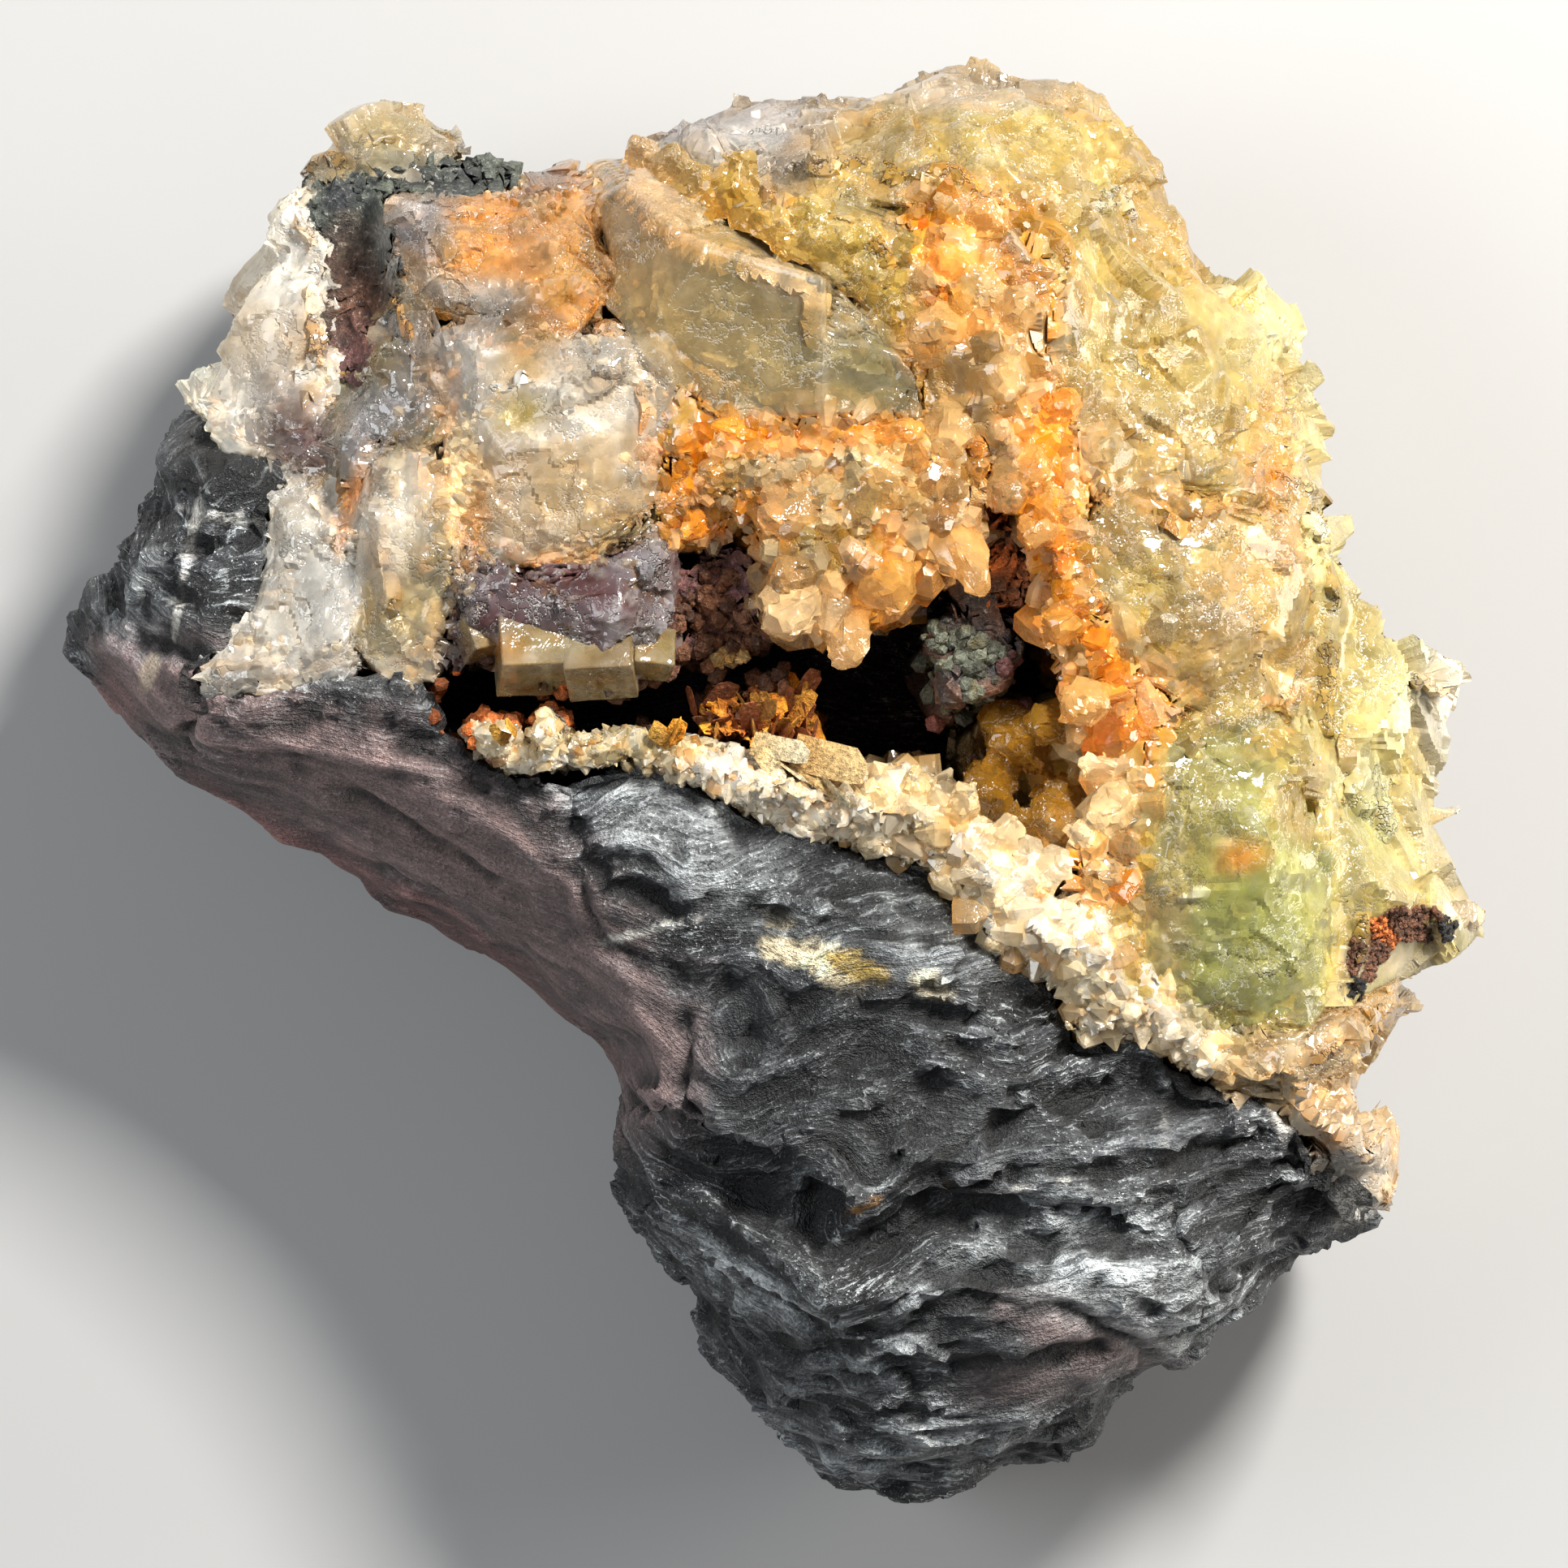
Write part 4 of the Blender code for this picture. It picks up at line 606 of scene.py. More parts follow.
# Lines sets the pale hairlines: partly real cracks, partly painted glints.
def crystal(name, skin, ior, see_through, lines=0.6, chips=0.4, polish=0.07, absorb=None, density=0):
    """A see-through mineral whose colour varies with the piece's tint."""
    material, graph = new_material(name)
    end = surface(graph, skin, {"Cracks and glints": lines, "Chips": chips, "Polish": polish},
                  {"IOR": ior, "Transmission Weight": see_through, "Specular IOR Level": 1.0})
    if density:
        inside = graph.add("ShaderNodeVolumeAbsorption", {"Color": (*absorb, 1), "Density": density})
        graph.put(end.inputs["Volume"], inside.outputs[0])
    return material


def heart(name, skin):
    """The cloudy, cracked inside of a clear crystal."""
    material, graph = new_material(name)
    surface(graph, skin, {"Cracks and glints": 0.35, "Chips": 0.9, "Polish": 0.12}, {"Specular IOR Level": 0.8})
    return material


def make_earth_skin():
    """The look of crusts and clumps: granular, with pits and pale specks."""
    graph, given, out = new_group("earth skin", [("Tint", "Color", (1, 1, 1, 1)), ("Specks", "Float", 0.3)],
                                  [("Color", "Color"), ("Roughness", "Float"), ("Normal", "Vector")])
    place = rock_space(graph)
    grain = graph.noise(place, 2.8, 3.0, 0.75)
    colour_now = graph.mix(1.0, given["Tint"], graph.ramp(grain, 0.3, 0.7, 0.35, 1.5), "MULTIPLY")
    speck = graph.math("MULTIPLY", graph.ramp(grain, 0.60, 0.70), given["Specks"])
    colour_now = graph.mix(speck, colour_now, (0.62, 0.58, 0.5, 1))
    bump = graph.add("ShaderNodeBump", {"Height": grain, "Strength": 0.9, "Distance": 0.4 * MM})
    graph.put(out["Color"], colour_now)
    graph.put(out["Roughness"], graph.ramp(grain, 0.3, 0.7, 0.85, 0.5))
    graph.put(out["Normal"], bump.outputs[0])
    return graph.tree


def earth(name, skin, specks):
    """A granular mineral with this share of pale specks."""
    material, graph = new_material(name)
    surface(graph, skin, {"Specks": specks}, {})
    return material


def schist_material():
    """Foliated rock: silky streaks of mica that follow the folia, pale in colour with painted sheen and
    glints, over charcoal and mauve-brown.
    """
    material, graph = new_material("foliated schist")
    tint = graph.attribute("tint", "Color")
    across, along, mica_and_sheen, calm = (graph.attribute(name) for name in ("across", "along", "mica_and_sheen", "calm"))
    place = rock_space(graph)
    layers = graph.add("ShaderNodeCombineXYZ", {"X": across, "Y": graph.math("MULTIPLY", along, 0.2)})
    hair = graph.noise(layers.outputs[0], 3.2, 3.0, 0.8, 0.25)
    grain = graph.noise(place, 4.2, 2.0, 0.8)
    dark = graph.math("MULTIPLY", graph.ramp(hair, 0.5, 0.40, 0.0, 0.9), calm)
    light = graph.math("MULTIPLY", graph.ramp(hair, 0.55, 0.64), mica_and_sheen)
    colour_now = graph.mix(dark, tint, graph.mix(1.0, tint, (0.2, 0.2, 0.22, 1), "MULTIPLY"))
    colour_now = graph.mix(graph.math("MULTIPLY", light, 0.9), colour_now, (0.62, 0.66, 0.66, 1))
    colour_now = graph.mix(1.0, colour_now, graph.ramp(grain, 0.28, 0.75, 0.5, 1.6), "MULTIPLY")
    # Painted glints: pale flakes of mica.
    flake_glint = graph.math("MULTIPLY", graph.ramp(grain, 0.635, 0.68), graph.math("ADD", mica_and_sheen, 0.04))
    colour_now = graph.mix(graph.math("MULTIPLY", flake_glint, 0.9), colour_now, (0.85, 0.87, 0.86, 1))
    height = graph.math("MULTIPLY_ADD", grain, 0.8, hair)
    bump = graph.add("ShaderNodeBump", {"Height": height, "Strength": 1.0, "Distance": 0.4 * MM})
    shader = graph.add("ShaderNodeBsdfPrincipled", {
        "Base Color": colour_now, "Roughness": graph.ramp(light, 0, 1, 0.6, 0.34),
        "Normal": bump.outputs[0], "Specular IOR Level": 0.6})
    graph.put(graph.add("ShaderNodeOutputMaterial").inputs["Surface"], shader.outputs[0])
    return material


def make_materials():
    """Every mineral's material, by the name that the pieces' rows give it."""
    skin, ground = make_crystal_skin(), make_earth_skin()

    def fluorite(name, see_through, **values):
        return crystal(f"{name} fluorite", skin, FLUORITE_IOR, see_through, **values)

    def quartz(name, see_through, **values):
        return crystal(name, skin, QUARTZ_IOR, see_through, **values)

    return {
        "olive": fluorite("olive", 0.6, lines=0.8, chips=0.3, polish=0.03, absorb=(0.85, 0.78, 0.5),
                          density=500),
        "yellow": fluorite("yellow", 0.6),
        "clear yellow": fluorite("clear yellow", 0.6, chips=0.3, polish=0.04),
        "green": fluorite("green", 0.6, chips=0.25, absorb=(0.8, 0.9, 0.6), density=300),
        "wing": fluorite("bright", 0.5, chips=0.3),
        "pale": fluorite("pale", 0.6, polish=0.04),
        "cubes": crystal("pale cubes", skin, FLUORITE_IOR, 0.6, chips=0.2, polish=0.04),
        "purple": fluorite("purple", 0.3, lines=0.9, chips=0.8),
        "stained": fluorite("stained", 0.6, chips=0.5),
        "vein": quartz("vein quartz", 0.55, polish=0.05),
        "amber": quartz("stained druse", 0.3, lines=0.1, polish=0.05),
        "amber points": quartz("amber points", 0.55, lines=0.1, chips=0.2, polish=0.04),
        "white": quartz("white druse", 0.3, lines=0.1, polish=0.06),
        "white points": quartz("white points", 0.5, lines=0.1, chips=0.2, polish=0.04),
        "heart": heart("cloudy inside", skin),
        "chlorite": earth("chlorite", ground, 0.45),
        "iron": earth("iron crust", ground, 0.2),
        "schist": schist_material(),
    }


# ---------------------------------------------------------------- pieces
# Each crystal body: its node, look and slot, two tints and how broadly they mix, its mesh grain, its lumps'
# width and height, the width and tilt of its broad and fine facets, its seam stain and its width, how
# strong its veils and painted glints are and how deep its clear places look. Widths and heights are in mm.
Body = namedtuple("Body", "node look slot first second mottle grain lump lump_height broad broad_tilt "
                          "fine fine_tilt seam seam_width veils depth")
BODIES = [Body(*row) for row in (
    ("fluorite_crest", "yellow", "fluorite_yellow", "honey", "lemon", 5, 0.27,
     5, 1.5, 4.8, 0.30, 1.7, 0.15, "amber", 0.5, 0.5, 0.7),
    ("fluorite_wing", "wing", "fluorite_green", "pale", "lemon", 5, 0.25,
     5, 0.4, 6.5, 0.22, 0, 0.2, "lemon", 0.4, 0.3, 0.3),
    ("fluorite_green_crystal", "green", "fluorite_green", "leaf", "sea", 5, 0.24,
     5, 0.2, 6.0, 0.14, 1.8, 0.10, "amber", 0.6, 0.4, 0.5),
    ("fluorite_tan_crystal", "yellow", "fluorite_yellow", "honey", "lemon", 4, 0.24,
     4, 0.3, 5.2, 0.26, 1.8, 0.16, "orange", 0.6, 0.5, 0.6),
    ("fluorite_olive_crystal", "olive", "fluorite_olive", "olive", "olive", 6, 0.2,
     5, 0.02, 0, 0.03, 0, 0.05, "tan", 0.3, 0.2, 0.4),
    ("fluorite_honey_wedge", "clear yellow", "fluorite_yellow", "honey", "lemon", 3, 0.22,
     4, 0.2, 3.6, 0.12, 1.3, 0.12, "amber", 0.4, 0.5, 0.6),
    ("fluorite_pale_block", "pale", "fluorite_pale", "tan", "grey", 4, 0.24,
     4, 0.2, 6.0, 0.14, 1.6, 0.12, "orange", 0.6, 0.5, 0.4),
    ("fluorite_cube_row", "purple", "fluorite_purple", "purple", "lilac", 3, 0.22,
     3, 0.4, 2.6, 0.3, 0.9, 0.3, "purple", 0.4, 0.6, 0.6),
    ("fluorite_left_column", "pale", "fluorite_pale", "grey", "olive", 4, 0.24,
     4, 0.2, 5.0, 0.18, 1.5, 0.12, "amber", 0.35, 0.5, 0.4),
    ("fluorite_stained_crystal", "stained", "fluorite_stained", "amber", "tan", 3, 0.24,
     4, 0.4, 4.4, 0.22, 1.4, 0.16, "orange", 0.7, 0.5, 0.6),
    ("fluorite_corner_crystal", "pale", "fluorite_pale", "smoke", "grey", 4, 0.22,
     4, 0.3, 4.5, 0.2, 1.6, 0.1, "tan", 0.3, 0.5, 0.4),
    ("fluorite_vug_crystals", "stained", "fluorite_stained", "amber", "honey", 3, 0.24,
     3, 0.1, 3.6, 0.16, 1.2, 0.1, "smoke", 0.4, 0.3, 0.8),
    ("quartz_vein", "vein", "vein_quartz", "grey", "grey", 3, 0.25,
     3, 0.4, 3.4, 0.26, 1.3, 0.2, "white", 0.4, 0.4, 0.4),
    ("quartz_lilac_block", "vein", "vein_quartz", "lilac", "smoke", 3, 0.24,
     3, 0.5, 3.0, 0.3, 1.2, 0.25, "amber", 0.4, 0.4, 0.5),
    ("quartz_left_shoulder", "vein", "vein_quartz", "white", "white", 4, 0.27,
     4, 0.6, 3.4, 0.3, 1.3, 0.25, "cream", 0.3, 0.4, 0.4),
    ("quartz_lower_block", "vein", "vein_quartz", "tan", "cream", 4, 0.25,
     4, 0.4, 4.4, 0.24, 1.5, 0.16, "amber", 0.5, 0.4, 0.5),
    ("quartz_amber_band", "amber", "druse_quartz", "peach", "amber", 3, 0.27,
     4, 1.0, 3.2, 0.42, 1.3, 0.3, "orange", 0.6, 0.4, 0.6),
    ("quartz_center_cluster", "amber", "druse_quartz", "peach", "honey", 3, 0.24,
     3, 0.8, 2.2, 0.45, 0.9, 0.4, "orange", 0.7, 0.4, 0.6),
    ("quartz_vug_lip", "white", "white_druse", "white", "cream", 3, 0.27,
     3, 0.6, 1.6, 0.45, 0.7, 0.4, "cream", 0.3, 0.5, 0.4),
    ("quartz_point", "white", "white_druse", "cream", "white", 2, 0.22,
     2, 0.1, 1.4, 0.3, 0.7, 0.2, "cream", 0.2, 0.5, 0.3),
)]
# Flat facets of the olive crystal, each through three points of its surface.
OLIVE_FACETS = [
    ((2.3, 30.4, 41.6), (2.3, 22.6, 39.8), (-7.4, 26.6, 36.2)),
    ((2.3, 30.4, 41.6), (2.3, 22.6, 39.8), (8.0, 23.0, 36.0)),
    ((-2.6, 31.6, 40.4), (-6.6, 27.6, 37.2), (-9.8, 36.4, 34.8)),
    ((-2.6, 31.6, 40.4), (2.3, 30.4, 41.6), (-1.0, 35.4, 37.4)),
    ((2.3, 30.4, 41.6), (8.0, 23.6, 36.2), (6.0, 29.0, 37.0)),
]
# The looks whose crystals show their inside.
CLEAR = ("olive", "yellow", "clear yellow", "green", "wing", "pale", "stained", "vein")
CLEAR_TINT = 0.95  # how much of its tint the clear surface keeps
HEART_DEPTH = 1.0  # how far the cloudy inside lies below it, in mm
HEART_TINT = 0.7  # how bright the cloudy inside is
HEART_GRAIN = 1.75  # how much coarser its mesh is than the clear surface's
HEART_FACET = 2.8  # how wide its cracked faces are, in mm
DEEP = np.array((0.74, 0.62, 0.42))  # what clear places keep of the tint
STAINED = np.array((1.0, 0.66, 0.32))  # what iron in the creases leaves of it

# Seeds of the pieces' own noise, each with the piece's number added.
BROAD_SEED = 100
CRUST_FACET_SEED = 150
FINE_SEED = 300
TINT_SEED = 500
CRUST_TINT_SEED = 550
SEAM_SEED = 700
CLOUD_SEED = 900
HEART_FACET_SEED = 1100
HEART_CLOUD_SEED = 1200
HEART_DEPTH_SEED = 1300
BROKEN_SEED = 1500

# Each crust: its node, look and slot, two tints, its mesh grain and its lumps' width in mm.
Crust = namedtuple("Crust", "node look slot first second grain lump")
CRUSTS = [Crust(*row) for row in (
    ("chlorite_seam", "chlorite", "chlorite", "slate", "moss", 0.3, 1.4),
    ("chlorite_clump", "chlorite", "chlorite", "slate", "brown", 0.24, 3.0),
    ("rust_blades", "iron", "iron_crust", "rust", "orange", 0.26, 1.2),
    ("limonite_boxwork", "iron", "iron_crust", "brown", "rust", 0.26, 0.8),
    ("hematite_crust", "iron", "iron_crust", "purple", "brown", 0.28, 0.9),
)]
VUG = (-1.0, 2.0, 20.0, 10.0, -8)  # the open pocket: middle, half widths and turn
VUG_ROOF = 31.0  # crystals this far down inside it get painted shade
VUG_DIM = 6.0  # how far below that the painted shade is whole, in mm
VUG_NODE = "fluorite_vug_crystals"  # the crystals in it that get no painted shade


def paint_vug_shade(points, tint):
    """Painted shade deep inside the vug: everything there fades to brown and black."""
    inside = patch(points, *VUG, ragged_edge(points, 72, 0.4))
    deep = np.clip((VUG_ROOF - points[:, 2]) / VUG_DIM, 0, 1) * inside
    vug_shade_mix = rough(points, 2.2, 41)[:, None]
    dark = shade("black") * (1 - vug_shade_mix) + shade("brown") * vug_shade_mix
    return tint * (1 - deep[:, None]) + dark * deep[:, None]


def clouded(points, tint, seed, veils, depth):
    """Clear and cloudy places, thin pale veils of healed cracks, and pale flecks that are painted glints."""
    bend = np.stack([noise(points, 2.4, seed + k) for k in range(3)], 1) - 0.5
    bent = points + bend * 2.4
    cloud = rough(bent, 3.2, seed + 3, 4)
    clear = np.clip((0.55 - cloud) * 6, 0, 1)[:, None] * depth
    tint = tint * (1 - clear * (1 - DEEP))
    sheet = np.abs(rough(bent, 2.4, seed + 4, 3) - 0.5)
    veil = np.clip(1 - sheet / 0.02, 0, 1) * np.clip((noise(points, 4, seed + 5) - 0.35) * 4, 0, 1)
    # Painted glints: small pale flecks.
    glint_fleck = np.clip((rough(bent, 0.8, seed + 6, 2) - 0.60) * 8, 0, 1)
    share = (np.maximum(veil, glint_fleck * 0.6) * veils * 0.6)[:, None]
    return tint * (1 - share) + (shade("white") * 0.8 + tint * 0.15) * share


def stain_creases_light_edges(piece, tint, stain=0.8, edge_highlight=0.25):
    """Iron stain in the creases, and a painted highlight: sharp edges turned pale."""
    edge = convexity(piece)[:, None]
    crease = np.clip((0.42 - edge) * 5, 0, 1) * stain
    tint = tint * (1 - crease * (1 - STAINED))
    # Painted highlight: sharp edges turn pale.
    bare = np.clip((edge - 0.62) * 4, 0, 1) * edge_highlight
    return tint * (1 - bare) + (shade("white") * 0.6 + tint * 0.4) * bare


def edge_distance(points, normals):
    """How far each upward-facing point is from the piece's walls, in mm."""
    walls = np.abs(normals[:, 2]) < 0.4
    up = normals[:, 2] > 0.4
    distance = np.zeros(len(points))
    if walls.any() and up.any():
        distance[up] = nearest_gap(points[up], points[walls][::4], 4.0)
    return distance


def two_tone(points, first, second, mottle, seed):
    """Two colours in mottled patches this many mm across."""
    share = np.clip(rough(points, mottle, seed, 4) * 2.6 - 0.8, 0, 1)[:, None]
    return shade(first) * (1 - share) + shade(second) * share


def body_tint(body, index, points, distance, stain):
    """A crystal's own colours, with stain along its seams and the patches that cross it."""
    tint = two_tone(points, body.first, body.second, body.mottle, TINT_SEED + index)
    near = np.exp(-(distance / body.seam_width) ** 2) * (rough(points, 2.0, SEAM_SEED + index) > 0.36)
    near = (near * stain)[:, None]
    tint = tint * (1 - near) + shade(body.seam) * near
    return paint(points, tint, CRYSTAL_PATCHES)


def facet_brightness(facet, seed, spread):
    """A little more or less light on each facet."""
    return (1 + np.random.default_rng(seed).uniform(-spread, spread, facet.max() + 1))[facet][:, None]


def cut_facets(points, normals, facets):
    """Bring the top of a crystal down, or a little up, to the lowest of its flat facets."""
    level = np.full(len(points), np.inf)
    for corners in facets:
        a, b, c = (np.array(corner) for corner in corners)
        plane = np.cross(b - a, c - a)
        level = np.minimum(level, a[2] - ((points[:, :2] - a[:2]) @ plane[:2]) / plane[2])
    rise = (level - points[:, 2]).clip(0, 3) * np.clip((normals[:, 2] - 0.2) / 0.2, 0, 1)
    points = points.copy()
    points[:, 2] += np.where(points[:, 2] > level, level - points[:, 2], rise)
    return points


def crystal_copy(node, name, grain):
    """A fine copy of a crystal, with its large flat facets cut where it has them."""
    piece = fine_copy(node, name, grain)
    if node == "fluorite_olive_crystal":
        points, normals = read(piece)
        write(piece, cut_facets(points, normals, OLIVE_FACETS))
        relax = piece.modifiers.new("worn ridges", "SMOOTH")
        relax.iterations = 8
        apply_modifiers(piece)
    return piece


def make_body(body, index, materials):
    """A crystal's outer surface and its tint."""
    clear = body.look in CLEAR
    stain = 0.3 if clear else 0.8
    crease_stain = 0.25 if clear else 0.8
    piece = crystal_copy(body.node, f"{body.node}_surface", body.grain)
    points, normals = read(piece)
    distance = edge_distance(points, normals)
    lumps = (rough(points, body.lump, index, 3) - 0.5) * 2 * body.lump_height
    points += normals * (sizes().swell + lumps * np.clip(distance / 2 + 0.2, 0, 1))[:, None]
    write(piece, points)
    brightness = 1.0
    broken = np.clip((rough(points, 6, BROKEN_SEED + index) - 0.47) * 8, 0.08, 1)[:, None]
    for width, tilt, lean, seed, spread, share in (
            (body.broad, body.broad_tilt, 0.3, BROAD_SEED, 0.2, 1),
            (body.fine, body.fine_tilt, 0.25, FINE_SEED, 0.16, broken)):
        if not width:
            continue
        points, normals = read(piece)
        moved, facet = cleave(points, normals, width, seed + index, 0.85, lean, 0.6, tilt=tilt)
        write(piece, points + (moved - points) * share)
        brightness = brightness * (1 + (facet_brightness(facet, seed + index, spread) - 1) * share)
    points, normals = read(piece)
    tint = body_tint(body, index, points, distance, stain) * brightness
    tint = clouded(points, tint, CLOUD_SEED + 10 * index, body.veils, body.depth)
    # Iron stain in the creases, and a painted highlight on sharp edges.
    tint = stain_creases_light_edges(piece, tint, crease_stain)
    # Painted shade deep inside the vug.
    if body.node != VUG_NODE:
        tint = paint_vug_shade(points, tint)
    set_tint(piece, 1 - (1 - tint.clip(0, 1)) * (CLEAR_TINT if clear else 1))
    settle(piece, materials[body.look], body.slot, body.node, angle=24, clear=clear)
    return piece, tint


def make_heart(body, index, materials):
    """The cloudy inside of a crystal, seen through its clear surface."""
    piece = crystal_copy(body.node, f"{body.node}_heart", body.grain * HEART_GRAIN)
    points, normals = read(piece)
    distance = edge_distance(points, normals)
    sunk = HEART_DEPTH * (0.6 + 0.8 * rough(points, 2.5, HEART_DEPTH_SEED + index))
    points -= normals * sunk[:, None]
    write(piece, points)
    points, normals = read(piece)
    points, facet = cleave(points, normals, HEART_FACET, HEART_FACET_SEED + index, 0.8, 0.3, tilt=0.4)
    write(piece, points)
    tint = body_tint(body, index, points, distance, 0.7) * facet_brightness(facet, index, 0.4)
    veils = min(1, body.veils * 1.4)
    tint = clouded(points, tint * HEART_TINT, HEART_CLOUD_SEED + 10 * index, veils, body.depth)
    # Iron stain in the creases, and a strong painted highlight on sharp edges.
    tint = stain_creases_light_edges(piece, tint, 0.5, 0.6)
    # Painted shade deep inside the vug.
    set_tint(piece, paint_vug_shade(points, tint) if body.node != VUG_NODE else tint)
    settle(piece, materials["heart"], body.slot, angle=30)


def make_crust(crust, index, materials):
    """A lumpy, granular crust."""
    piece = fine_copy(crust.node, f"{crust.node}_surface", crust.grain)
    points, normals = read(piece)
    lumps = (rough(points, crust.lump, index, 3) - 0.45) * crust.lump * 1.6
    points += normals * (sizes().swell * 0.8 + lumps)[:, None]
    write(piece, points)
    points, normals = read(piece)
    seed = CRUST_FACET_SEED + index
    points, _ = cleave(points, normals, crust.lump * 1.2, seed, 0.9, 0.3, 0.2, tilt=0.5)
    write(piece, points)
    tint = two_tone(points, crust.first, crust.second, 1.6, CRUST_TINT_SEED + index)
    tint = paint(points, tint, CRUST_PATCHES)
    # Painted shade in the crust's hollows and painted light on its bumps.
    set_tint(piece, tint * (0.4 + 1.2 * convexity(piece)[:, None]))
    settle(piece, materials[crust.look], crust.slot, crust.node, angle=40)
    return piece


def ridged(points, lump, seed):
    """Noise with sharp crests, from 0 to 1."""
    return 1 - np.abs(2 * rough(points, lump, seed, 2) - 1) * 2


def along_lines(points, lines):
    """Each point's share of the depth of the nearest crease or ridge, in mm."""
    depth = np.zeros(len(points))
    for width, height, *stops in lines:
        stops = np.array(stops, float)
        gap = np.full(len(points), 99.0)
        for start, end in zip(stops[:-1], stops[1:]):
            way = end - start
            share = (((points[:, :2] - start) @ way) / (way @ way)).clip(0, 1)
            gap = np.minimum(gap, np.hypot(*(points[:, :2] - start - share[:, None] * way).T))
        depth += height * np.exp(-(gap / width) ** 2)
    return depth


# Creases (below 0) and ridges in the schist: width and height in mm, then the line they follow.
SCHIST_LINES = [
    (0.7, -1.3, (-9.7, -19.5), (-5.7, -20.2), (-5.3, -21.8), (-3, -22.4), (0.7, -23.8),
     (2.7, -25.4), (4.3, -26.2)),
    (2.4, 1.4, (-6, -25), (-3, -26.6), (0.4, -28), (2.6, -29.6)),
    (0.45, -1.2, (6.7, -25.7), (13.7, -26), (19.3, -26.9), (23.3, -27.4), (26, -29.4), (27.3, -31.3)),
    (0.5, 0.7, (-9.6, -18.4), (-4.8, -19.3), (-4, -21.2), (1.4, -22.6), (4.6, -25)),
    (0.5, -0.8, (-13, -5.4), (-11.8, -8.4), (-10.6, -9.5), (-6, -12)), (0.4, -0.7, (-6, -14.7), (-6, -20.7)),
    (0.5, -0.9, (-13.2, 0.6), (-12.8, -3), (-10.6, -6.2), (-7, -7.4)),
    (0.5, -0.6, (-0.5, -8), (-2.4, -11.6), (-5.4, -14)),
    (0.5, -0.6, (2.4, -12.6), (-0.6, -14.6), (-4, -15.6)), (0.5, -0.7, (9, -14.4), (3, -17.6), (-1, -20)),
    (0.5, -0.6, (16.8, -12.2), (13.4, -14.8), (10, -18)),
    (0.6, -0.7, (22, -17.6), (16, -19), (11, -22), (8.6, -24.6)),
    (0.5, -0.7, (33.6, -23), (28, -24.6), (23, -25.4)),
    (0.6, 0.7, (6.6, -27), (12, -28.8), (19, -29.4), (26, -33)),
    (0.5, -0.7, (12, -31.6), (18, -32.4), (24.4, -36.4)),
    (0.6, -0.8, (-8, -29), (-2.4, -30.6), (2, -33), (2.6, -36.6)),
    (0.5, -0.6, (-4.6, -34), (-0.6, -36.4), (4, -38.4), (10, -38)),
    (0.5, -0.6, (3.6, -34.6), (8, -32.8), (13, -30)),
    (0.5, -0.6, (6, -37), (12, -35.2), (19, -34.6)), (0.6, -0.7, (8, -42), (13, -40.6), (18, -37.4)),
    (0.6, -0.8, (-37.4, 20), (-34, 16.8), (-30.6, 16.4)),
    (0.5, -0.9, (-39.4, 9.4), (-36.6, 7.6), (-32, 8.6), (-30.8, 12)),
    (0.5, -0.7, (-38, 15.6), (-35.4, 14.4), (-32.4, 15.6)),
    (0.5, 0.5, (-36.2, 19.6), (-37.6, 15.8), (-39.4, 12.2), (-40, 8.1)),
    (0.6, -1.2, (-36.4, 3.4), (-35.2, 6.2), (-31, 6.8), (-25.6, 7)),
    (0.8, 0.7, (-35, 4.4), (-31, 5.4), (-26.2, 5.8), (-22, 4)),
    (0.6, -0.8, (-38.6, -0.6), (-36.8, 1.2), (-36.4, 3)),
    (0.7, -0.8, (-22.6, 2.4), (-19.4, 0.6), (-18.4, -0.6)),
    (0.5, -0.5, (-30, 1), (-24, -1.6), (-18, -6)), (0.6, -0.5, (-16.6, -1.6), (-14.4, -4.6), (-13, -9)),
]


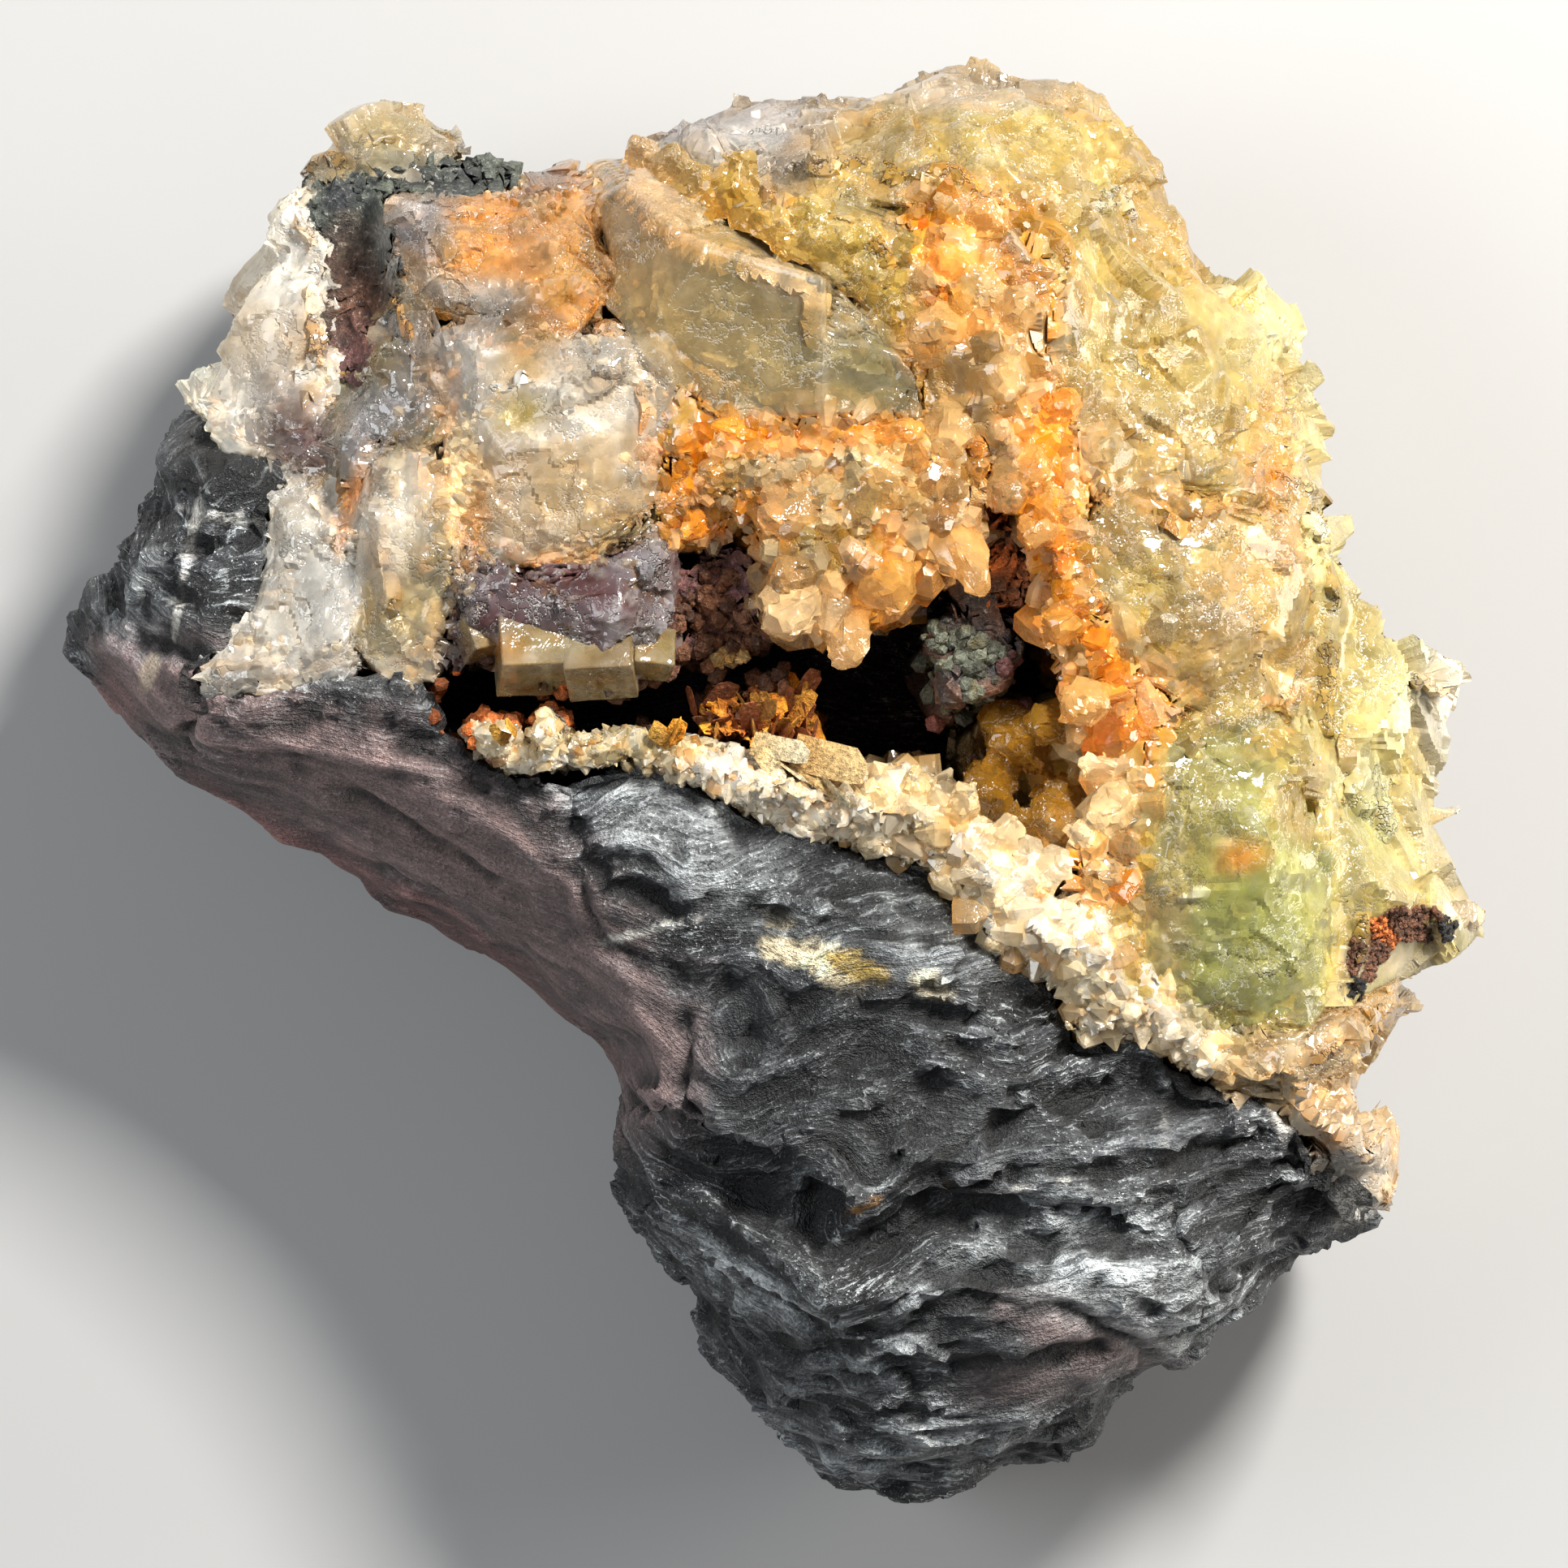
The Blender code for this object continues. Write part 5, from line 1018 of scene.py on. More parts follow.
def make_schist(materials):
    """The folded rock: its folia stand up as ridges, broken along plates, and its mica is in streaks; its
    creases get painted shade and its ridges painted light.
    """
    piece = fine_copy("schist_matrix", "schist_matrix_surface", sizes().schist_grain)
    points, normals = read(piece)
    across, along = folia(points)
    layers = np.c_[across, along * 0.2, points[:, 2] * 0.1]  # space in which noise runs out along the folia
    plates = np.c_[across, along * 0.34, points[:, 2] * 0.6]  # and the one in which the rock breaks
    border = ragged_edge(points)
    smooth = sum(patch(points, *row[1:6], border) for row in SCHIST_PATCHES if row[0] in ("mauve", "russet"))
    smooth = smooth.clip(0, 1)
    high = sizes().foliation * (1 - 0.8 * smooth)
    shift = (ridged(layers, 4.2, 11) - 0.5) * 2.6 * high + (ridged(layers, 1.5, 12) - 0.5) * 1.5 * high
    shift += (rough(layers, 0.8, 15, 2) - 0.5) * 1.1 * high + (rough(points, 9, 13, 3) - 0.5) * 1.6
    pit = np.clip(0.36 - rough(layers, 2.0, 14, 2), 0, 1)
    shift -= pit * 5.0 * high
    wavy = points + np.c_[rough(points, 2.5, 16), rough(points, 2.5, 17), np.zeros(len(points))] * 1.6 - 0.8
    shift += along_lines(wavy, SCHIST_LINES) * np.clip((points[:, 2] - 18) / 8, 0, 1)
    foot = np.clip(points[:, 2] / 3, 0, 1)  # the flat back stays as it is
    points = points + normals * (shift * foot)[:, None]
    write(piece, points)
    points, normals = read(piece)
    moved, _ = cleave(points, normals, 1.5, 31, 0.8, 0.2, 0.3, plates, 0.3)
    points = points + (moved - points) * (foot * (1 - 0.75 * smooth))[:, None]
    write(piece, points)

    tint = paint(points, np.tile(shade("slate"), (len(points), 1)), SCHIST_PATCHES, CRISP)
    strand = rough(np.c_[across, along * 0.16, points[:, 2] * 0.1], 1.6, 24, 3)
    edge = convexity(piece, 4)
    tint *= (0.35 + 1.3 * np.clip(strand * 2.4 - 0.7, 0, 1) * (1 - 0.5 * smooth) + 0.35 * smooth)[:, None]
    # Painted shade in the creases and painted light on the ridges.
    tint *= np.clip(edge * 2.6 - 0.45, 0.12, 1.9)[:, None]
    # Painted shade deep inside the vug.
    tint = paint_vug_shade(points, tint)
    set_tint(piece, tint)
    set_attribute(piece, "across", "FLOAT", across)
    set_attribute(piece, "along", "FLOAT", along)
    set_attribute(piece, "calm", "FLOAT", 1 - 0.7 * smooth)
    # The mica's pale colour with painted sheen: strongest in the silver patches, taken out under the black
    # patches of painted shade, and weaker in creases and stronger on ridges as painted shade and light.
    mica_and_sheen = (0.15 + 0.6 * np.clip(rough(points, 6, 23) * 3 - 1.1, 0, 1)) * (1 - 0.75 * smooth)
    for name, x, y, half_x, half_y, turn, strength in SCHIST_PATCHES:
        if name == "silver":
            mica_and_sheen = np.maximum(mica_and_sheen, patch(points, x, y, half_x, half_y, turn, border) * strength)
        if name == "black":
            mica_and_sheen = mica_and_sheen * (1 - patch(points, x, y, half_x, half_y, turn, border) * strength * 0.8)
    set_attribute(piece, "mica_and_sheen", "FLOAT", mica_and_sheen * np.clip(edge * 2.2 - 0.3, 0, 1.3))
    settle(piece, materials["schist"], "schist", "schist_matrix", angle=50)
    return piece


# ---------------------------------------------------------------- seams

CELL = 0.35  # spacing of the grid that finds the seams, in mm
SPAN = 46.0  # half the width that the grid covers
SEAM_REACH = 4  # half the width that a filled seam may have, in cells
SEAM_LOW = 0.2  # how far the filling stays below the crystals' edges, in mm


def spread_over(grid, reach, pick):
    """The highest or lowest value of a grid within reach of each cell."""
    for axis in (0, 1):
        grid = pick.reduce([np.roll(grid, step, axis) for step in range(-reach, reach + 1)])
    return grid


def softened(grid, rounds=2):
    """A grid with its steps smoothed away."""
    for _ in range(rounds):
        grid = sum(np.roll(grid, step, axis) for axis in (0, 1) for step in (-1, 0, 1)) / 6
    return grid


def grid_cells(points):
    """The grid's cell under each point."""
    return ((points[:, :2] + SPAN) / CELL).astype(int).clip(0, int(2 * SPAN / CELL) - 1).T


def height_grid(points):
    """The highest point in each cell of the grid, and -1 where there is none."""
    count = int(2 * SPAN / CELL)
    grid = np.full((count, count), -1.0)
    np.maximum.at(grid, tuple(grid_cells(points)), points[:, 2])
    return np.where(grid < 0, spread_over(grid, 1, np.maximum), grid)


def between_cells(grid, points):
    """A grid's smooth value under each point."""
    place = (points[:, :2] + SPAN) / CELL - 0.5
    low = np.floor(place).astype(int).clip(0, len(grid) - 2)
    u, v = (place - low).T
    x, y = low.T
    return ((grid[x, y] * (1 - u) + grid[x + 1, y] * u) * (1 - v)
            + (grid[x, y + 1] * (1 - u) + grid[x + 1, y + 1] * u) * v)


def heal_seams(pieces, rock):
    """Raise the crystals' rims along their seams, so that they have grown together."""
    heights = np.array([height_grid(read(piece)[0]) for piece in pieces + [rock]])
    top, owner = heights.max(0), heights.argmax(0)
    first = spread_over(np.where(top < 0, -1, owner), 1, np.maximum)
    second = spread_over(np.where(top < 0, 99, owner), 1, np.minimum)
    border = (first != second) & (first >= 0) & (second < 99)
    border = softened(spread_over(border.astype(float), 3, np.maximum))
    closed = spread_over(spread_over(top, SEAM_REACH, np.maximum), SEAM_REACH, np.minimum)
    level = softened(closed, 4) - SEAM_LOW
    for piece in pieces:
        points, normals = read(piece)
        rise = (between_cells(level, points) + (rough(points, 1.6, 91) - 0.6) * 0.8 - points[:, 2]).clip(0, 8)
        rise *= np.clip((normals[:, 2] - 0.1) / 0.3, 0, 1)
        points[:, 2] += rise * between_cells(border, points)
        write(piece, points)


# ---------------------------------------------------------------- grown crystals

def taken_apart(piece):
    """A modelled crystal's points and triangles, for copying; the model itself goes."""
    points = np.array([piece.matrix_world @ v.co for v in piece.data.vertices])
    bm = bmesh.new()
    bm.from_mesh(piece.data)
    bmesh.ops.triangulate(bm, faces=bm.faces)
    faces = np.array([[v.index for v in face.verts] for face in bm.faces])
    bm.free()
    bpy.data.objects.remove(piece)
    return points, faces


def quartz_seed(tip):
    """One small quartz crystal, a six-sided prism with an uneven point, 1 long and 1 across."""
    bpy.ops.object.select_all(action="DESELECT")
    bpy.ops.mesh.primitive_cylinder_add(vertices=6, radius=0.5, depth=0.45, location=(0, 0, 0.225))
    piece = bpy.context.object
    bpy.ops.object.mode_set(mode="EDIT")
    bpy.ops.mesh.select_all(action="DESELECT")
    bm = bmesh.from_edit_mesh(piece.data)
    for face in bm.faces:
        face.select_set(face.normal.z > 0.9)
    bmesh.update_edit_mesh(piece.data)
    bpy.ops.mesh.extrude_region_move(TRANSFORM_OT_translate={"value": (0.05, 0.03, 0.55)})
    bpy.ops.transform.resize(value=(tip * 0.6, tip, 1))
    bpy.ops.object.mode_set(mode="OBJECT")
    return taken_apart(piece)


def frames_for(axes, spins):
    """A turned set of axes for each crystal, with its length along the given axis."""
    z = axes / np.linalg.norm(axes, axis=1, keepdims=True)
    helper = np.where(np.abs(z[:, :1]) < 0.9, [[1.0, 0, 0]], [[0, 1.0, 0]])
    x = np.cross(helper, z)
    x /= np.linalg.norm(x, axis=1, keepdims=True)
    y = np.cross(z, x)
    c, s = np.cos(spins)[:, None], np.sin(spins)[:, None]
    return np.stack([x * c + y * s, y * c - x * s, z], axis=1)


def grow(name, seed, places, axes, girths, lengths, tints, rng):
    """Many copies of one crystal, joined in one mesh."""
    points, faces = seed
    count = len(places)
    turned = frames_for(axes, rng.random(count) * math.tau)
    scaled = points[None] * np.stack([girths, girths * rng.uniform(0.75, 1, count), lengths], 1)[:, None]
    where = places[:, None] + scaled @ turned
    mesh = bpy.data.meshes.new(name)
    every = (faces[None] + np.arange(count)[:, None, None] * len(points)).reshape(-1, 3)
    mesh.from_pydata((where.reshape(-1, 3) * MM).tolist(), [], every.tolist())
    piece = bpy.data.objects.new(name, mesh)
    bpy.context.scene.collection.objects.link(piece)
    height = points[:, 2:] / points[:, 2].max()
    fade = BASE_STAIN + (1.1 - BASE_STAIN) * np.clip(height * 1.6, 0, 1)
    set_tint(piece, (tints[:, None] * fade[None]).reshape(-1, 3))
    return piece


BASE_STAIN = np.array((0.95, 0.76, 0.48))  # what is left of a small crystal's tint at its foot

# Fields of druse: middle, half widths, turn, crowding, smallest and largest girth in mm.
AMBER_FIELDS = [
    (10, 31.5, 2.2, 4.6, 5, 0.55, 0.5, 2.0), (12.2, 25, 3.0, 4.6, 0, 0.4, 0.7, 2.6),
    (15.6, 18.4, 1.7, 5.4, 10, 0.9, 0.5, 1.9), (17, 11.5, 1.5, 5, 5, 0.9, 0.5, 1.9),
    (19.6, 3.6, 1.8, 6, -20, 0.8, 0.6, 2.4), (19.8, -3.6, 1.8, 4.4, 0, 0.9, 0.7, 2.4),
    (0, 20.4, 7.6, 1.6, 3, 0.8, 0.4, 1.6), (-4.6, 17.4, 2.6, 2.8, 0, 0.9, 0.4, 1.4),
    (3, 17.4, 6, 2.6, 0, 0.8, 0.8, 2.4), (5, 13.2, 6, 4.6, 0, 0.7, 1.1, 2.8),
    (13.6, 34.6, 3, 2, 0, 0.4, 0.4, 1.4), (-14.8, 35.6, 3, 1, -20, 0.5, 0.3, 0.9),
    (-19.4, 17, 1.1, 5, 0, 0.7, 0.3, 1.0), (-15.5, 24.4, 4.4, 2.4, 10, 0.4, 0.3, 1.1),
    (14.6, 6, 1.4, 4, 0, 0.8, 0.8, 2.4), (-9, 14.2, 4, 0.8, 15, 0.6, 0.3, 0.9),
]
WHITE_FIELDS = [
    (-9.4, 1.8, 4.6, 1.4, -5, 1.6, 0.25, 0.9), (-1, -0.6, 6, 1.6, -18, 1.5, 0.3, 1.1),
    (7.6, -2.4, 4.4, 2.4, -35, 1.3, 0.5, 2.2), (13, -6.4, 3.6, 3, -40, 1.3, 0.5, 2.4),
    (17, -10.4, 4.4, 2.8, -42, 1.3, 0.4, 2.0), (22.4, -14, 5, 1.8, -28, 1.2, 0.4, 1.7),
    (27, -16.2, 2.4, 0.8, -25, 0.5, 0.4, 1.4),
    (-31, 24, 3.6, 2, 0, 0.2, 0.4, 1.3), (-30, 7.4, 5, 1.4, 0, 0.3, 0.3, 1.1),
    (-24.6, 24, 1.6, 4, 0, 0.3, 0.4, 1.2),
    (-17.4, 2.4, 2.2, 1.2, 0, 1.2, 0.3, 1.0),
]


def surface_points(pieces):
    """The points and normals of several pieces together."""
    every = [read(piece) for piece in pieces]
    return np.concatenate([e[0] for e in every]), np.concatenate([e[1] for e in every])


ROOM = 1.2  # width of the rooms in which a new crystal looks for neighbours, in mm
CLEARANCE = 0.36  # how near two crystals may stand, as a share of their girths together


def scatter(fields, points, normals, tints, seed, tries):
    """Pick places for druse, closer together where a field is crowded, and never two in one place."""
    rng = np.random.default_rng(seed)
    up = normals[:, 2] > 0.05
    points, normals, tints = points[up], normals[up], tints[up]
    crowd = np.zeros(len(points))
    edge, clumps = ragged_edge(points, 73, 0.5), noise(points, 2.6, 74)
    low, high = np.zeros(len(points)), np.zeros(len(points))
    for x, y, half_x, half_y, turn, crowding, small, large in fields:
        here = patch(points, x, y, half_x, half_y, turn, edge) * crowding
        here *= clumps < crowding
        stronger = here > crowd
        crowd[stronger], low[stronger], high[stronger] = here[stronger], small, large
    picked = rng.choice(len(points), tries, p=crowd / crowd.sum())
    girths = low[picked] + (high[picked] - low[picked]) * rng.random(tries) ** 1.7
    order = np.argsort(-girths)
    picked, girths = picked[order], girths[order]
    rooms, kept = {}, []
    for k, (i, girth) in enumerate(zip(picked, girths)):
        room = tuple((points[i] // ROOM).astype(int))
        near = [other for step in np.ndindex(3, 3, 3)
                for other in rooms.get(tuple(room[n] + step[n] - 1 for n in range(3)), ())]
        if all(np.sum((points[i] - points[j]) ** 2) > (CLEARANCE * (girth + g)) ** 2 for j, g in near):
            rooms.setdefault(room, []).append((i, girth))
            kept.append(k)
    picked, girths = picked[kept], girths[kept]
    axes = normals[picked] + rng.normal(0, 0.42, (len(picked), 3)) + (0, 0, 0.35)
    lengths = girths * rng.uniform(0.8, 1.4, len(picked))
    axes /= np.linalg.norm(axes, axis=1, keepdims=True)
    places = points[picked] - axes * (lengths * 0.55)[:, None]
    pale = (rng.random((len(picked), 1)) < 0.3) * 0.45
    own = (tints[picked] * (1 - pale) + shade("cream") * pale) * rng.uniform(0.5, 1.0, (len(picked), 1))
    return places, axes, girths, lengths, own, rng


# Larger crystals set one by one: place, the way they point, girth and length in mm.
CLUSTER_POINTS = [
    ((2.6, 15.9, 38.2), (-1, 0.1, 0.55), 3.3, 4.6), ((1.2, 13.2, 38.6), (-0.5, -0.3, 0.9), 3.2, 3.6),
    ((2.0, 11.6, 36.4), (-0.55, -0.45, 0.8), 4.2, 5.4), ((3.6, 10.2, 36.6), (0.1, -0.8, 0.7), 3.0, 4.0),
    ((5.2, 16.6, 38.6), (0.25, 0.5, 0.9), 3.6, 3.8), ((5.6, 12.8, 37.4), (0.35, -0.35, 0.9), 4.2, 4.8),
    ((9.4, 15.6, 36.8), (0.45, -0.75, 0.6), 3.8, 5.6), ((8.4, 17.6, 37.4), (0.2, 0.3, 0.9), 3.0, 3.8),
    ((13.6, 18.4, 37.6), (-0.1, -0.25, 1), 3.9, 4.4), ((-3.4, 18.6, 35.6), (-0.5, 0.2, 0.9), 1.9, 3.0),
    ((-1.0, 20.9, 36.6), (-0.8, 0.2, 0.7), 1.8, 4.4), ((4.4, 20.9, 37.0), (0.8, 0.1, 0.6), 2.0, 5.0),
    ((-5.2, 16.0, 34.6), (-0.3, -0.3, 0.9), 1.5, 2.4), ((-0.6, 17.8, 36.8), (-0.3, 0.5, 0.9), 1.8, 2.6),
]
AMBER_POINTS = [
    ((9.6, 26.6, 37.2), (-0.3, 0.3, 0.9), 4.2, 4.4), ((12.4, 24.4, 37.4), (0.3, 0.1, 0.95), 4.8, 4.4),
    ((10.4, 22.2, 37.2), (-0.2, -0.4, 0.9), 3.8, 4.2), ((13.6, 28.0, 37.6), (0.2, 0.3, 0.9), 3.4, 3.8),
    ((9.8, 31.0, 37.2), (-0.1, 0.2, 1), 3.2, 3.4), ((12.2, 33.4, 37.2), (0.1, 0.4, 0.9), 3.0, 3.2),
    ((16.2, 22.4, 37.8), (0.3, 0.2, 0.9), 2.6, 3.2), ((15.6, 15.6, 37.2), (-0.2, -0.2, 0.9), 2.8, 3.4),
    ((17.2, 9.6, 36.8), (-0.3, -0.1, 0.9), 3.0, 3.6), ((18.6, 5.0, 36.6), (-0.4, 0, 0.9), 3.2, 3.6),
    ((20.0, -1.4, 36.0), (-0.3, -0.1, 0.9), 3.2, 3.6), ((14.8, 19.4, 37.4), (0.1, -0.2, 1), 3.6, 3.8),
]
VUG_POINTS = [
    ((15.4, 2.4, 28.6), (-0.5, 0.1, 0.85), 4.4, 5.0), ((13.0, 0.4, 28.0), (-0.3, -0.2, 0.9), 4.0, 4.6),
    ((16.8, -0.8, 29.6), (-0.2, -0.3, 0.9), 4.0, 4.6), ((15.0, -3.2, 29.6), (-0.3, 0.3, 0.9), 3.6, 4.4),
    ((12.2, -2.0, 28.8), (0.2, 0.4, 0.9), 3.2, 4.0), ((17.8, 3.8, 30.2), (-0.6, 0, 0.8), 3.6, 4.6),
    ((13.4, 4.0, 27.6), (0.1, -0.3, 0.9), 3.6, 4.0), ((18.0, -3.0, 31.0), (-0.5, 0.2, 0.8), 3.0, 4.0),
]
BAND_POINTS = [
    ((-8.8, 38.0, 33.4), (0.2, 0.3, 0.9), 2.4, 2.4), ((-7.2, 37.2, 34.6), (0.3, 0.4, 0.9), 2.6, 2.8),
    ((-5.6, 36.2, 35.6), (0.1, 0.3, 0.9), 2.6, 2.8), ((-4.0, 35.2, 36.8), (0.3, 0.4, 0.9), 2.8, 2.8),
    ((-2.4, 34.2, 37.8), (0.2, 0.2, 1), 2.8, 2.8), ((-0.8, 33.2, 38.4), (0.4, 0.4, 0.9), 2.8, 2.8),
    ((0.8, 32.2, 38.4), (0.3, 0.3, 0.9), 3.0, 3.0), ((2.4, 31.6, 38.4), (0.5, 0.5, 0.8), 3.2, 3.0),
    ((4.0, 30.4, 37.8), (0.4, 0.2, 0.9), 3.0, 3.0), ((5.4, 28.8, 37.0), (0.4, 0.3, 0.9), 3.0, 3.0),
    ((6.6, 27.2, 36.2), (0.3, 0.2, 0.9), 2.8, 3.0), ((1.6, 34.0, 37.8), (0.1, 0.3, 1), 3.6, 2.6),
    ((4.4, 32.8, 37.6), (0.3, 0.1, 1), 3.4, 2.8), ((-2.8, 36.4, 36.4), (0.1, 0.5, 0.9), 3.2, 2.6),
]
LIP_POINTS = [
    ((8.0, -1.0, 35.2), (0, 0.6, 0.8), 1.9, 3.4), ((10.6, -2.0, 35.4), (0.2, 0.6, 0.8), 2.0, 3.6),
    ((12.8, -4.0, 35), (0.3, 0.6, 0.7), 2.0, 3.6), ((6.4, -1.4, 35), (-0.4, 0.6, 0.8), 1.6, 2.8),
    ((15.4, -6.2, 34.6), (0.5, 0.5, 0.7), 2.1, 3.8), ((16.4, -8.4, 34.8), (0.4, 0.1, 0.9), 2.2, 3.4),
    ((13.4, -7.4, 35), (-0.2, 0.2, 1), 2.0, 3.0), ((-14.3, 1.4, 34), (-0.05, 0.72, 0.7), 1.5, 4.4),
    ((18.6, -3.2, 34.6), (-0.4, 0.1, 0.9), 2.2, 3.4), ((19.6, 0.6, 35), (-0.4, 0.2, 0.9), 2.4, 3.8),
]


HAND_SEED = 9


def place_by_hand(name, seed, rows, tint, deep):
    """Crystals that each stand where their row says."""
    rng = np.random.default_rng(HAND_SEED)
    places = np.array([row[0] for row in rows])
    axes = np.array([row[1] for row in rows])
    girths = np.array([row[2] for row in rows])
    lengths = np.array([row[3] for row in rows])
    tints = np.array([shade(tint)] * len(rows)) * rng.uniform(0.85, 1.15, (len(rows), 1)) * deep
    tints = paint(places, tints, CRYSTAL_PATCHES)
    return grow(name, seed, places, axes, girths, lengths, tints, rng)


def wear_points(piece):
    """Uneven faces on large grown crystals."""
    only(piece)
    bpy.ops.object.mode_set(mode="EDIT")
    bpy.ops.mesh.select_all(action="SELECT")
    bpy.ops.mesh.subdivide(number_cuts=5)
    bpy.ops.object.mode_set(mode="OBJECT")
    points, normals = read(piece)
    points += normals * ((rough(points, 1.6, 61, 3) - 0.5) * 0.7)[:, None]
    write(piece, points)
    points, normals = read(piece)
    points, _ = cleave(points, normals, 1.3, 62, 0.8, 0.1, tilt=0.12)
    write(piece, points)
    return piece


def make_druse(bodies, materials):
    """Small quartz crystals scattered over their fields, and the larger ones set one by one."""
    blunt, sharp = quartz_seed(0.5), quartz_seed(0.2)
    points, normals = surface_points([piece for piece, _ in bodies])
    tints = np.concatenate([tint for _, tint in bodies])
    for name, seed, fields, look, slot, number in (
            ("amber_druse", blunt, AMBER_FIELDS, "amber points", "druse_quartz", 5),
            ("white_druse", sharp, WHITE_FIELDS, "white points", "white_druse", 6)):
        *stand, rng = scatter(fields, points, normals, tints, number, sizes().druse_count)
        piece = grow(name, seed, *stand, rng)
        settle(piece, materials[look], slot, angle=20, clear=True)
    for name, seed, rows, tint, deep, look, slot in (
            ("cluster_crystals", blunt, CLUSTER_POINTS, "peach", 0.68, "amber points", "druse_quartz"),
            ("amber_crystals", blunt, AMBER_POINTS, "tan", 1.1, "amber points", "druse_quartz"),
            ("vug_crystals", blunt, VUG_POINTS, "amber", 0.45, "stained", "fluorite_stained"),
            ("band_crystals", blunt, BAND_POINTS, "honey", 1, "clear yellow", "fluorite_yellow"),
            ("lip_crystals", sharp, LIP_POINTS, "cream", 0.85, "white points", "white_druse")):
        piece = wear_points(place_by_hand(name, seed, rows, tint, deep))
        settle(piece, materials[look], slot, angle=20, clear=True)


# Fluorite cubes on the vug's upper edge: middle, width, and turns about X, Y and Z in degrees.
CUBES = [
    ((-15.3, 8.2, 33.0), 4.3, (-26, 8, 2)), ((-11.1, 7.9, 33.2), 4.2, (-28, -5, 3)),
    ((-8.0, 7.9, 32.9), 2.5, (-26, 8, -6)), ((-18.4, 8.9, 32.6), 2.3, (-20, 26, 12)),
]


def make_cubes(materials):
    """The fluorite cubes, with worn edges and slightly uneven faces."""
    parts = []
    for middle, width, turns in CUBES:
        bpy.ops.object.select_all(action="DESELECT")
        bpy.ops.mesh.primitive_cube_add(size=width * MM, location=[c * MM for c in middle],
                                        rotation=[math.radians(t) for t in turns])
        part = bpy.context.object
        bpy.ops.object.transform_apply(location=True, rotation=True, scale=True)
        bevel = part.modifiers.new("worn edges", "BEVEL")
        bevel.width = 0.12 * MM
        bevel.segments = 2
        apply_modifiers(part)
        bpy.ops.object.mode_set(mode="EDIT")
        bpy.ops.mesh.select_all(action="SELECT")
        bpy.ops.mesh.subdivide(number_cuts=6)
        bpy.ops.object.mode_set(mode="OBJECT")
        parts.append(part)
    bpy.ops.object.select_all(action="DESELECT")
    for part in parts:
        part.select_set(True)
    bpy.context.view_layer.objects.active = parts[0]
    bpy.ops.object.join()
    piece = bpy.context.object
    piece.name = piece.data.name = "fluorite_cubes"
    points, normals = read(piece)
    points += normals * ((rough(points, 1.1, 77, 3) - 0.5) * 0.2)[:, None]
    write(piece, points)
    tint = two_tone(points, "olive", "tan", 2.5, 78)
    tint = clouded(points, paint(points, tint, CRYSTAL_PATCHES), 950, 0.5, 0.6)
    # Iron stain in the creases, and a painted highlight on sharp edges.
    set_tint(piece, stain_creases_light_edges(piece, tint))
    settle(piece, materials["cubes"], "fluorite_pale", angle=24)


# ---------------------------------------------------------------- crusts

# Crusts on the walls of the vug: colour, middle, half widths, crowding.
CRUST_FIELDS = [
    ("brown", -3.4, 10.4, 3.4, 5, 1.0), ("purple", -5, 12.6, 2, 3, 0.8), ("tan", -3.2, 7.6, 2.4, 1, 0.9),
    ("moss", -3.8, 13.6, 1, 1, 0.9), ("tan", 3.8, 8.6, 2.2, 1.3, 0.9), ("moss", 8, 9.2, 1.6, 1.2, 0.7),
    ("moss", 11, 8, 2.4, 3, 1.6), ("brown", 14, 13, 2.6, 3.4, 1.2), ("tan", 12.6, 14.6, 1.6, 2, 0.7),
    ("purple", 14.6, 7.4, 2, 2.6, 1.0), ("rust", -17, 4.6, 4.6, 1.6, 0.8), ("brown", 0, 9, 3, 2, 0.8),
    ("russet", 8, 4, 2, 1.4, 0.4), ("brown", -10, 5, 4, 1.4, 0.5),
]
# A limonite arch on the wing.
WING_FIELDS = [
    ("black", 34.5, -12.2, 0.6, 0.7, 1), ("brown", 35.1, -11, 0.7, 0.8, 1),
    ("brown", 35.8, -9.9, 0.8, 0.8, 1), ("rust", 36.6, -9.0, 0.8, 0.7, 1),
    ("brown", 37.7, -8.5, 0.9, 0.7, 1), ("brown", 39.0, -8.6, 0.9, 0.7, 1),
    ("black", 40.2, -8.9, 0.8, 0.5, 1),
]


WALL_HEIGHTS = (23.0, 32.6)  # between these the vug's walls carry grains, in mm


def rock_seed():
    """One angular grain, about 1 across."""
    bpy.ops.object.select_all(action="DESELECT")
    bpy.ops.mesh.primitive_ico_sphere_add(subdivisions=1, radius=0.55)
    piece = bpy.context.object
    bpy.ops.object.mode_set(mode="EDIT")
    bpy.ops.mesh.select_all(action="SELECT")
    bpy.ops.transform.vertex_random(offset=0.16, seed=4)
    bpy.ops.object.mode_set(mode="OBJECT")
    return taken_apart(piece)


def blade_seed():
    """One thin ragged blade, 1 long."""
    bpy.ops.object.select_all(action="DESELECT")
    bpy.ops.mesh.primitive_cylinder_add(vertices=7, radius=0.5, depth=0.9, location=(0, 0, 0.45))
    piece = bpy.context.object
    bpy.ops.object.mode_set(mode="EDIT")
    bpy.ops.mesh.select_all(action="SELECT")
    bpy.ops.transform.resize(value=(1, 0.2, 1))
    bpy.ops.mesh.select_all(action="DESELECT")
    bm = bmesh.from_edit_mesh(piece.data)
    for face in bm.faces:
        face.select_set(face.normal.z > 0.9)
    bmesh.update_edit_mesh(piece.data)
    bpy.ops.mesh.extrude_region_move(TRANSFORM_OT_translate={"value": (0.12, 0, 0.2)})
    bpy.ops.transform.resize(value=(0.55, 0.4, 1))
    bpy.ops.object.mode_set(mode="OBJECT")
    return taken_apart(piece)


